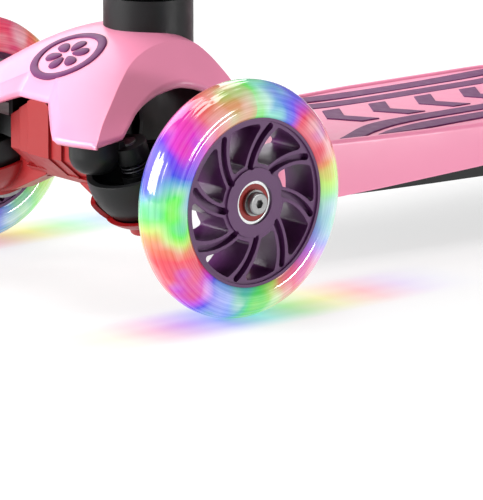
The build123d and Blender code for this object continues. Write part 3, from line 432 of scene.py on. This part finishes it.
TYRE_STEPS = 192
TREAD_STEPS = 64
TYRE_HALF_WIDTH = 0.014
RIM_HALF_WIDTH = 0.012
SHOULDER_RISE = 0.0055
# Bead and sidewall: distance from the rim, then how far the bead stands out past the rim and the
# sidewall in from the full width.
BEAD_RISE, BEAD_OUT = 0.0016, 0.0012
SIDEWALL_RISE, SIDEWALL_IN = 0.0035, 0.0003
GROOVE_DEPTH = 0.00035
# Half a groove's width as a share of the tread's half width.
GROOVE_HALF_WIDTH = 0.035
# Rim radius, then the lines moulded in the tread as shares of its half width.
FRONT_TYRE = (0.0425, (0.16, 0.36, 0.56, 0.74, 0.9))
REAR_TYRE = (0.029, (0.3, 0.6, 0.85))


def tyre_section(rim, grooves, radius):
    """Closed section of a cast tyre as (radius, across) points, with fine moulded lines."""
    half_width = TYRE_HALF_WIDTH
    shoulder = rim + SHOULDER_RISE
    rise = radius - shoulder
    circle = (rise * rise + half_width * half_width) / (2 * rise)
    sweep = math.asin(min(half_width / circle, 1.0))
    outer = []
    for k in range(TREAD_STEPS + 1):
        turn = sweep * (2 * k / TREAD_STEPS - 1)
        depth = 0.0
        for groove in grooves:
            near = abs(abs(turn / sweep) - groove) / GROOVE_HALF_WIDTH
            depth = max(depth, GROOVE_DEPTH * max(0.0, 1.0 - near))
        reach = circle - depth
        outer.append((radius - circle + reach * math.cos(turn), reach * math.sin(turn)))
    side = [
        (rim, -RIM_HALF_WIDTH),
        (rim + BEAD_RISE, -RIM_HALF_WIDTH - BEAD_OUT),
        (rim + SIDEWALL_RISE, -half_width + SIDEWALL_IN),
    ]
    mirrored = [(r, -w) for r, w in reversed(side)]
    return side + outer + mirrored


def turned_tyre(name, section, centre, material):
    """Section of (radius, across) points turned about a line through centre along X."""
    points = []
    for k in range(TYRE_STEPS):
        turn = 2 * math.pi * k / TYRE_STEPS
        for radius, across in section:
            out = Vector((across, radius * math.sin(turn), radius * math.cos(turn)))
            points.append(Vector(centre) + out)
    faces = grid_faces(TYRE_STEPS, len(section), rows_closed=True)
    return mesh_piece(name, points, faces, material)


def make_tyres():
    """Lit clear tyres at the front, which glow in place of their hidden lamps, and a milky one at
    the rear.
    """
    section = tyre_section(*FRONT_TYRE, FRONT_R)
    near = MATERIALS["lit_clear_tyre"]
    for side, x, material in (("left", WHEEL_X, near), ("right", -WHEEL_X, FAR_TYRE)):
        tyre = turned_tyre(f"cast_tyre_{side}", section, (x, FRONT_Y, FRONT_R), material)
        place(tyre, f"wheel_{side}", "lit_clear_tyre", f"tyre_{side}", f"light_ring_{side}")
    section = tyre_section(*REAR_TYRE, REAR_R)
    tyre = turned_tyre("cast_tyre_rear", section, (0, REAR_Y, REAR_R), MATERIALS["milky_tyre"])
    place(tyre, "wheel_rear", "milky_tyre", "tyre_rear")


make_tyres()

# ---------------------------------------------------------------- fairing

SHELL = 0.0032
SHELL_EDGE = 0.0022
SHELL_EDGE_ANGLE = math.radians(16)
# From here on, shapes are in millimetres in the truck frame. Progress runs from the hood's nose
# at 0 to the bottom of its rear at 1.
# Crease between the hood's top and its side: progress, x, y, z and the crown's rise in the middle.
CREASE = [
    (0.00, 72.5, -62.5, 83.5, 5.0), (0.05, 70.0, -59.3, 86.4, 5.3),
    (0.16, 61.0, -48.4, 94.7, 6.2), (0.28, 52.5, -35.4, 103.6, 6.6),
    (0.38, 44.3, -22.8, 111.7, 5.8), (0.48, 37.3, -10.3, 118.6, 4.8),
    (0.57, 32.8, 3.4, 123.2, 4.0), (0.66, 30.8, 17.0, 125.2, 3.4),
    (0.72, 31.5, 26.0, 125.0, 2.8), (0.76, 33.4, 33.6, 122.7, 2.4),
    (0.80, 38.3, 38.4, 117.4, 2.4), (0.84, 44.0, 41.0, 111.8, 2.6),
    (0.88, 51.0, 43.0, 105.0, 2.8), (0.92, 55.5, 44.8, 97.0, 3.0),
    (0.96, 57.0, 46.5, 82.0, 3.0), (1.00, 57.0, 47.5, 63.0, 3.0),
]
# Lower edge of the side face, from the leg's bottom over the wheel arch and down again: progress,
# x, y, z.
ARCH_EDGE = [
    (0.00, 70.3, -44.0, 84.5), (0.05, 68.0, -40.5, 88.6), (0.16, 61.5, -30.0, 94.5),
    (0.28, 57.6, -23.0, 98.4), (0.38, 54.0, -14.0, 102.2), (0.48, 51.5, -5.0, 104.8),
    (0.57, 50.0, 4.0, 106.2), (0.66, 49.3, 12.0, 106.7), (0.72, 50.2, 18.0, 105.7),
    (0.76, 51.4, 22.0, 104.6), (0.80, 52.8, 26.0, 103.0), (0.84, 54.5, 30.0, 100.6),
    (0.88, 56.2, 34.0, 97.6), (0.92, 57.0, 38.0, 92.0), (0.96, 57.0, 41.0, 80.0),
    (1.00, 57.0, 42.0, 63.0),
]
CROWN_POWER = 3.0
# Front lower edge: a notch in the middle, then a leg on each side.
NOTCH_HALF = 12.0
NOTCH_TOP = 98.8
NOTCH_SETBACK = 9.5
LEG_INNER = 41.0
LEG_BOTTOM = 86.8
LEG_RISE = 1.2
LEG_SETBACK = 1.5
LEG_WIDTH = 28.0
# Upright band between the lower edge and the crowned hood.
BAND_AT_NOTCH = 11.5
BAND_AT_LEG = 7.0
BAND_ROWS = 4
HOOD_ROWS = 90
# Places of the hood's lines from its middle to the crease, close together at the notch and leg.
HOOD_SHARES = sorted(
    {k / 16 for k in range(1, 15)} | {0.93, 1.0} | {0.19, 0.205, 0.235, 0.25, 0.58, 0.595, 0.61}
)
SIDE_SHARES = (0.1, 0.25, 0.4, 0.55, 0.7, 0.85, 1.0)
PROGRESS_STEP = 0.01
# The lower edge is looked for below this progress, by halving.
LIMIT_PROGRESS = 0.6
HALVINGS = 40


def hood_point(across, progress, lift=0.0):
    """Point on the hood's top: across runs from -1 at the right crease to 1 at the left."""
    x, y, z, crown = between(CREASE, progress)
    ahead = between(CREASE, min(progress + PROGRESS_STEP, 1.0))
    behind = between(CREASE, max(progress - PROGRESS_STEP, 0.0))
    along = Vector((0, ahead[1] - behind[1], ahead[2] - behind[2])).normalized()
    outward = Vector((0, -along.z, along.y))
    rise = crown * (1 - abs(across) ** CROWN_POWER) + lift
    return Vector((across * x, y, z)) + outward * rise


def lower_edge(x):
    """Height of the hood's front lower edge at x, and how far it stands back."""
    share = clamped((abs(x) - NOTCH_HALF) / (LEG_INNER - NOTCH_HALF))
    out = clamped((abs(x) - LEG_INNER) / LEG_WIDTH)
    height = NOTCH_TOP + (LEG_BOTTOM - NOTCH_TOP) * share + LEG_RISE * out
    return height, NOTCH_SETBACK * (1 - share) + LEG_SETBACK * share * (1 - out)


def edge_progress(across, rise):
    """Progress at which a line of the hood comes rise millimetres above the lower edge."""
    low, high = 0.0, LIMIT_PROGRESS
    for _ in range(HALVINGS):
        middle = (low + high) / 2
        point = hood_point(across, middle)
        if point.z < lower_edge(point.x)[0] + rise:
            low = middle
        else:
            high = middle
    return high


def rows_after(band):
    """Progress of every row behind the band."""
    return [band + (1.0 - band) * k / HOOD_ROWS for k in range(HOOD_ROWS + 1)]


def hood_line(across):
    """One line of the hood's top from its front lower edge to the bottom of its rear."""
    edge = hood_point(across, edge_progress(across, 0.0))
    height, setback = lower_edge(edge.x)
    rise = BAND_AT_LEG + (BAND_AT_NOTCH - BAND_AT_LEG) * min(setback / NOTCH_SETBACK, 1.0)
    band = edge_progress(across, rise)
    top = hood_point(across, band)
    foot = Vector((edge.x, edge.y + setback, height))
    line = [foot.lerp(top, k / BAND_ROWS) for k in range(BAND_ROWS)]
    return line + [hood_point(across, progress) for progress in rows_after(band)]


def side_line(share, sign):
    """One line of the hood's side, a share of the way from the crease to the wheel arch."""
    line = []
    start = edge_progress(1.0, 0.0)
    band = edge_progress(1.0, BAND_AT_LEG)
    steps = [start + (band - start) * k / BAND_ROWS for k in range(BAND_ROWS)]
    for progress in steps + rows_after(band):
        crease = Vector(between(CREASE, progress)[:3])
        arch = Vector(between(ARCH_EDGE, progress))
        point = crease.lerp(arch, share)
        point.x *= sign
        line.append(point)
    return line


def make_fairing():
    """Hood with a crowned top, slanted sides, wheel arches and a band along its front edge."""
    columns = [-share for share in reversed(HOOD_SHARES)] + [0.0] + HOOD_SHARES
    lines = [side_line(share, -1) for share in reversed(SIDE_SHARES)]
    lines += [hood_line(across) for across in columns]
    lines += [side_line(share, 1) for share in SIDE_SHARES]
    points = [truck(*p) for line in lines for p in line]
    faces = grid_faces(len(lines), len(lines[0]), row_closed=False)
    hood = mesh_piece("fairing_shell", points, faces, MATERIALS["pink_plastic"])
    modifier(hood, "BEVEL", width=SHELL_EDGE, segments=4, limit_method="ANGLE",
             angle_limit=SHELL_EDGE_ANGLE)
    modifier(hood, "SOLIDIFY", thickness=SHELL, offset=-1.0, use_even_offset=False)
    place(hood, "frame", "pink_plastic", "fairing")


make_fairing()

# ---------------------------------------------------------------- emblem

EMBLEM_RADIUS = 20.0
EMBLEM_BAND = 4.2
EMBLEM_PROGRESS = 0.41
EMBLEM_LIFT = 0.7
EMBLEM_SUNK = -0.4
EMBLEM_EDGE = 0.2
RING_STEPS = 96
RING_CHAMFER = 0.3
PETALS = 6
PETAL_STEPS = 28
PETAL_DISTANCE = 7.6
PETAL_HALF_LENGTH = 4.6
PETAL_HALF_WIDTH = 2.7
PETAL_SWELL = (1.15, 0.35)
PETAL_START = 30
TILE_TOP_SCALE = 0.94


def on_hood(x, along, lift):
    """Point on the hood's top, along millimetres up the slope from the emblem's middle."""
    here = hood_point(0, EMBLEM_PROGRESS)
    there = hood_point(0, EMBLEM_PROGRESS + PROGRESS_STEP)
    progress = EMBLEM_PROGRESS + PROGRESS_STEP * along / (there - here).length
    return hood_point(x / between(CREASE, progress)[0], progress, lift)


def raised_shape(outline):
    """Closed raised tile over an outline of (x, along) points: points and faces."""
    count = len(outline)
    middle = [sum(p[axis] for p in outline) / count for axis in (0, 1)]
    shoulder = EMBLEM_LIFT - EMBLEM_EDGE
    rows = ((1.0, EMBLEM_SUNK), (1.0, shoulder), (TILE_TOP_SCALE, EMBLEM_LIFT))
    points = []
    for scale, lift in rows:
        for x, along in outline:
            spot = [m + (value - m) * scale for m, value in zip(middle, (x, along))]
            points.append(on_hood(*spot, lift))
    points += [on_hood(*middle, EMBLEM_LIFT), on_hood(*middle, EMBLEM_SUNK)]
    faces = grid_faces(len(rows), count)
    top, bottom = len(rows) * count, len(rows) * count + 1
    for k in range(count):
        after = (k + 1) % count
        faces.append((top - count + k, top - count + after, top))
        faces.append((k, after, bottom))
    return points, faces


def ring_shape():
    """Closed raised ring: points and faces."""
    outer, inner, shoulder = EMBLEM_RADIUS, EMBLEM_RADIUS - EMBLEM_BAND, EMBLEM_LIFT - EMBLEM_EDGE
    profile = [
        (outer, EMBLEM_SUNK), (outer, shoulder), (outer - RING_CHAMFER, EMBLEM_LIFT),
        (inner + RING_CHAMFER, EMBLEM_LIFT), (inner, shoulder), (inner, EMBLEM_SUNK),
    ]
    points = []
    for k in range(RING_STEPS):
        turn = 2 * math.pi * k / RING_STEPS
        for reach, lift in profile:
            points.append(on_hood(reach * math.cos(turn), reach * math.sin(turn), lift))
    return points, grid_faces(RING_STEPS, len(profile), rows_closed=True)


def petal(turn):
    """Outline of one petal pointing in the direction turn, wider at its tip."""
    outline = []
    even, tip = PETAL_SWELL
    for k in range(PETAL_STEPS):
        angle = 2 * math.pi * k / PETAL_STEPS
        out = PETAL_DISTANCE + PETAL_HALF_LENGTH * math.cos(angle)
        aside = PETAL_HALF_WIDTH * math.sin(angle) * (even + tip * math.cos(angle))
        x = out * math.cos(turn) - aside * math.sin(turn)
        outline.append((x, out * math.sin(turn) + aside * math.cos(turn)))
    return outline


def make_emblem():
    """Ring round a flower of six petals, raised from the hood."""
    turns = [math.radians(PETAL_START + 360 / PETALS * k) for k in range(PETALS)]
    shapes = [ring_shape()] + [raised_shape(petal(turn)) for turn in turns]
    emblem = joined_piece("emblem", shapes, MATERIALS["purple_inlay"])
    place(emblem, "frame", "purple_inlay", "fairing_emblem")


make_emblem()

# ---------------------------------------------------------------- deck

# Left half of the deck's outline from front to rear, as (x, y).
DECK_OUTLINE = [
    (28, 72), (42.5, 79), (48, 108), (53.3, 141), (58, 180),
    (61, 212), (60, 300), (57.5, 335), (51, 368), (34, 394),
]
DECK_CORNER = 9.0
MIN_CORNER = 4.0
CORNER_STEPS = 8
# Longest part of a side that a corner takes, and the limit on how far a sharp corner moves.
CORNER_SHARE = 0.45
SHARP_CORNER = 0.3
SIDE_BOTTOM = 33.2
SIDE_RISE = 7.0
RISE_FROM, RISE_TO = 105.0, 208.0
LIP_HEIGHT = 1.1
# Section of the deck: inset and height above the lower edge, inset and drop from the lip's top,
# then the insets of the flat standing face.
SKIRT = ((3.4, 0.2), (0.5, 0.0), (0.1, 0.4), (0.0, 1.2), (0.0, 12.0))
LIP = (
    (0.0, 2.6), (0.15, 1.6), (0.6, 0.7), (1.3, 0.15), (2.1, 0.0), (3.2, 0.0), (3.7, 0.25),
    (4.0, 0.75), (4.3, 1.25), (4.8, 1.35), (5.2, 1.15), (5.8, 1.1),
)
FLAT = (12.0, 18.0)
# Height of the deck's standing face along its length.
DECK_LEVEL = [(60, 63.4), (110, 62.9), (150, 62.3), (204, 61.6), (290, 61.0), (400, 61.0)]


def inset_corners(corners, inset):
    """Corners of a closed outline, in either direction, with every side moved inwards."""
    area = sum(a[0] * b[1] - b[0] * a[1] for a, b in zip(corners, corners[1:] + corners[:1]))
    side = 1 if area > 0 else -1
    moved = []
    for k, corner in enumerate(corners):
        before = Vector(corner) - Vector(corners[k - 1])
        after = Vector(corners[(k + 1) % len(corners)]) - Vector(corner)
        first = Vector((-before.y, before.x)).normalized() * side
        second = Vector((-after.y, after.x)).normalized() * side
        half = (first + second).normalized()
        moved.append(Vector(corner) + half * inset / max(half.dot(first), SHARP_CORNER))
    return moved


def rounded(corners, radius):
    """Closed outline with each corner replaced by an arc, as CORNER_STEPS + 1 points a corner."""
    outline = []
    for k, corner in enumerate(corners):
        back = corners[k - 1] - corner
        ahead = corners[(k + 1) % len(corners)] - corner
        turn = math.pi - back.angle(ahead)
        longest = CORNER_SHARE * min(back.length, ahead.length)
        reach = min(radius * math.tan(turn / 2), longest)
        start = corner + back.normalized() * reach
        end = corner + ahead.normalized() * reach
        for j in range(CORNER_STEPS + 1):
            t = j / CORNER_STEPS
            outline.append((1 - t) ** 2 * start + 2 * t * (1 - t) * corner + t * t * end)
    return outline


def deck_loop(inset):
    """The deck's outline moved inwards, as (x, y) points."""
    corners = DECK_OUTLINE + [(-x, y) for x, y in reversed(DECK_OUTLINE)]
    return rounded(inset_corners(corners, inset), max(DECK_CORNER - inset, MIN_CORNER))


def deck_bottom(y):
    """Height of the side's lower edge, which rises along the front of the deck."""
    return SIDE_BOTTOM + SIDE_RISE * clamped((y - RISE_FROM) / (RISE_TO - RISE_FROM))


def loop_piece(name, loops, material, close_bottom=False):
    """Mesh through stacked closed loops of (x, y, z) points, closed over the last one."""
    count = len(loops[0])
    points = [truck(*p) for loop in loops for p in loop]
    faces = grid_faces(len(loops), count)
    last = (len(loops) - 1) * count
    faces.append(tuple(range(last, last + count)))
    if close_bottom:
        faces.append(tuple(reversed(range(count))))
    return mesh_piece(name, points, faces, material)


def deck_level(y):
    """Height of the deck's standing face at y."""
    return between(DECK_LEVEL, y)[0]


def make_deck():
    """Deck shell with upright sides, a rounded lip and a standing face a little below it."""
    loops = []
    for inset, rise in SKIRT:
        loops.append([(x, y, deck_bottom(y) + rise) for x, y in deck_loop(inset)])
    for inset, drop in LIP:
        loops.append([(x, y, deck_level(y) + LIP_HEIGHT - drop) for x, y in deck_loop(inset)])
    for inset in FLAT:
        loops.append([(x, y, deck_level(y)) for x, y in deck_loop(inset)])
    deck = loop_piece("deck_shell", loops, MATERIALS["pink_plastic"])
    place(deck, "frame", "pink_plastic", "deck")


make_deck()

# ---------------------------------------------------------------- deck grip

GRIP_HEIGHT = 0.8
GRIP_SUNK = -0.4
GRIP_SHOULDER = GRIP_HEIGHT - 0.3
GRIP_CHAMFER = 0.35
MAX_CHAMFER_SHARE = 0.12
BAND_MIDDLE = 235.0
BAND_STEPS = 5
CHEVRON_HALF = 16.0
CHEVRON_DEPTH = 12.0
CHEVRON_SLOPE = 0.65
CHEVRON_STARTS = (150, 182, 214, 246, 278, 310)
# Front halves of the two bands on the left: inner edge, then outer edge, as (x, y).
INNER_BAND = (
    [(44.7, 120.5), (37.2, 133), (29.8, 145.5), (24.8, 157),
     (22.4, 168), (21.2, 182), (20.6, 198), (20.5, 235)],
    [(44.7, 120.5), (47.5, 133), (42.2, 145), (37.4, 157),
     (33.6, 170), (31.6, 185), (31.0, 200), (31.0, 235)],
)
OUTER_BAND = (
    [(48.0, 144), (43.3, 154), (40.3, 165), (38.1, 176),
     (36.7, 188), (36.1, 200), (35.9, 216), (35.8, 235)],
    [(48.0, 144), (49.6, 157), (50.0, 170), (49.2, 183),
     (48.2, 196), (47.5, 208), (47.1, 220), (47.0, 235)],
)


def smooth_line(points):
    """Points of a smooth line through the given (x, y) points."""
    table = [(k, *point) for k, point in enumerate(points)]
    count = (len(points) - 1) * BAND_STEPS + 1
    return [tuple(between(table, k / BAND_STEPS)) for k in range(count)]


def strip_shape(left, right):
    """Raised strip between two lines of (x, y) points on the deck: points and faces."""
    points = []
    for (x1, y1), (x2, y2) in zip(left, right):
        width = max(math.hypot(x2 - x1, y2 - y1), 0.01)
        soft = min(MAX_CHAMFER_SHARE, GRIP_CHAMFER / width)
        section = (
            (0, GRIP_SUNK), (0, GRIP_SHOULDER), (soft, GRIP_HEIGHT),
            (1 - soft, GRIP_HEIGHT), (1, GRIP_SHOULDER), (1, GRIP_SUNK),
        )
        for share, rise in section:
            x, y = x1 + (x2 - x1) * share, y1 + (y2 - y1) * share
            points.append((x, y, deck_level(y) + rise))
    count = len(section)
    faces = grid_faces(len(left), count)
    last = len(points) - count
    faces += [tuple(range(count)), tuple(range(last, last + count))]
    return points, faces


def make_grip():
    """Two bands along each side of the deck and a row of chevrons between them."""
    shapes = []
    for edges in (INNER_BAND, OUTER_BAND):
        lines = []
        for edge in edges:
            line = smooth_line(edge)
            lines.append(line + [(x, 2 * BAND_MIDDLE - y) for x, y in reversed(line[:-1])])
        for sign in (-1, 1):
            shapes.append(strip_shape(*[[(sign * x, y) for x, y in line] for line in lines]))
    for start in CHEVRON_STARTS:
        across = [CHEVRON_HALF * k / 4 for k in range(-4, 5)]
        front = [(x, start + CHEVRON_SLOPE * abs(x)) for x in across]
        shapes.append(strip_shape(front, [(x, y + CHEVRON_DEPTH) for x, y in front]))
    grip = joined_piece("deck_bands", shapes, MATERIALS["purple_inlay"], smooth=False)
    place(grip, "frame", "purple_inlay", "deck_grip")


make_grip()

# ---------------------------------------------------------------- wheel arch liners

# Outline of a liner as (y, z), and the x of its two faces.
LINER_SIDE = [(-30, 66), (-30, 99), (-14, 108), (6, 112), (30, 110), (44, 100), (48, 84), (48, 66)]
LINER_FACES = (29.2, 30.6)
LINER_EDGE = 0.0004


def make_liners():
    """Thin black wall inside the hood on each side of the column socket."""
    for side, sign in (("left", 1), ("right", -1)):
        loops = [[(sign * x, y, z) for y, z in LINER_SIDE] for x in LINER_FACES]
        name = f"arch_liner_{side}"
        liner = loop_piece(name, loops, MATERIALS["black_plastic"], close_bottom=True)
        modifier(liner, "BEVEL", width=LINER_EDGE, segments=2, limit_method="ANGLE")
        place(liner, "frame", "black_plastic")


make_liners()


# ---------------------------------------------------------------- floor and light


FADE_ALONG = [(0.0, BLACK), (0.3, grey(0.75)), (0.5, WHITE), (0.75, grey(0.7)), (1.0, BLACK)]
FADE_ACROSS = [(0.0, WHITE), (0.35, grey(0.75)), (1.0, BLACK)]


def floor_glow(n, centre_x, stops, front, rear, half_width):
    """Strip of coloured light that a lit tyre throws on the floor: its colour and its mask."""
    parts = n.add("ShaderNodeSeparateXYZ", {0: n.position})
    share = n.remap(parts.outputs["Y"], 0.0, 1.0, FRONT_Y + front, FRONT_Y + rear)
    color = n.ramp(share, [(position, srgb(*color)) for position, color in stops])
    fade = n.ramp(share, FADE_ALONG)
    off = n.math("ABSOLUTE", n.math("SUBTRACT", parts.outputs["X"], centre_x))
    width = n.ramp(n.remap(off, 0.0, 1.0, 0.0, half_width), FADE_ACROSS, "EASE")
    return color, n.math("MULTIPLY", fade, width)


# Colours of the strips from front to rear, as shares of their length and sRGB values.
NEAR_GLOW = [
    (0.0, (250, 245, 170)), (0.14, (245, 240, 150)), (0.24, (255, 150, 170)),
    (0.33, (190, 90, 220)), (0.41, (90, 110, 245)), (0.49, (90, 220, 230)),
    (0.57, (120, 235, 130)), (0.66, (235, 235, 110)), (0.76, (250, 120, 130)),
    (0.86, (190, 140, 240)), (1.0, (190, 220, 255)),
]
FAR_GLOW = [
    (0.0, (255, 90, 130)), (0.3, (250, 120, 140)), (0.5, (240, 225, 120)), (0.64, (130, 235, 150)),
    (0.78, (120, 170, 245)), (1.0, (200, 180, 250)),
]

# Middle of a strip, its colours, its front and rear ends from the axle and its half width.
STRIPS = (
    (WHEEL_X - 0.004, NEAR_GLOW, -0.125, 0.150, 0.034),
    (-WHEEL_X, FAR_GLOW, -0.060, 0.130, 0.03),
)
FLOOR_SIZE = 12.0
FLOOR_SURFACE = grey(0.3)
FLOOR_TONES = [(0.3, grey(0.86)), (0.7, grey(0.89))]
# Strength of the floor's own light near the scooter and far away, and the distances of the change.
FLOOR_LIGHT = (0.79, 1.15, 0.5, 1.6)
WORLD_STRENGTH = 0.17


def make_floor():
    """White studio floor, with the light that the lit tyres throw on it."""
    n = Nodes("studio_floor")
    color = n.ramp(n.noise(1.5), FLOOR_TONES)
    for strip in STRIPS:
        tint, mask = floor_glow(n, *strip)
        color = n.mix(mask, color, tint)
    away = n.add("ShaderNodeVectorMath", {0: n.position}, operation="LENGTH").outputs["Value"]
    n.feed(Base_Color=FLOOR_SURFACE, Roughness=0.8)
    n.feed(Emission_Color=color, Emission_Strength=n.remap(away, *FLOOR_LIGHT))
    bpy.ops.mesh.primitive_plane_add(size=FLOOR_SIZE, location=(0, 0, 0))
    floor = bpy.context.object
    floor.name = "studio_floor"
    paint(floor, n.material)


make_floor()

world = bpy.data.worlds.new("studio")
bpy.context.scene.world = world
world.use_nodes = True
background = world.node_tree.nodes["Background"]
background.inputs["Color"].default_value = WHITE
background.inputs["Strength"].default_value = WORLD_STRENGTH

FOCUS = (0.0, FRONT_Y + 0.05, 0.08)
# Name, place, width and height, and power in watts.
LIGHTS = (
    ("key", (-0.9, FRONT_Y - 2.0, 0.85), (1.8, 1.2), 90),
    ("left", (-2.4, FRONT_Y + 0.9, 2.2), (3.0, 3.0), 62),
    ("top", (-0.1, FRONT_Y + 0.1, 2.4), (1.2, 1.2), 26),
    ("side", (2.4, FRONT_Y + 1.0, 0.2), (0.8, 0.2), 22),
)


def area_light(name, spot, size, power):
    """Rectangular soft box aimed at the focus."""
    data = bpy.data.lights.new(name, "AREA")
    data.shape = "RECTANGLE"
    data.size, data.size_y = size
    data.energy = power
    light = bpy.data.objects.new(name, data)
    bpy.context.scene.collection.objects.link(light)
    light.location = spot
    light.rotation_euler = (Vector(FOCUS) - Vector(spot)).to_track_quat("-Z", "Y").to_euler()


for light in LIGHTS:
    area_light(*light)
bpy.context.scene.view_settings.view_transform = "Standard"
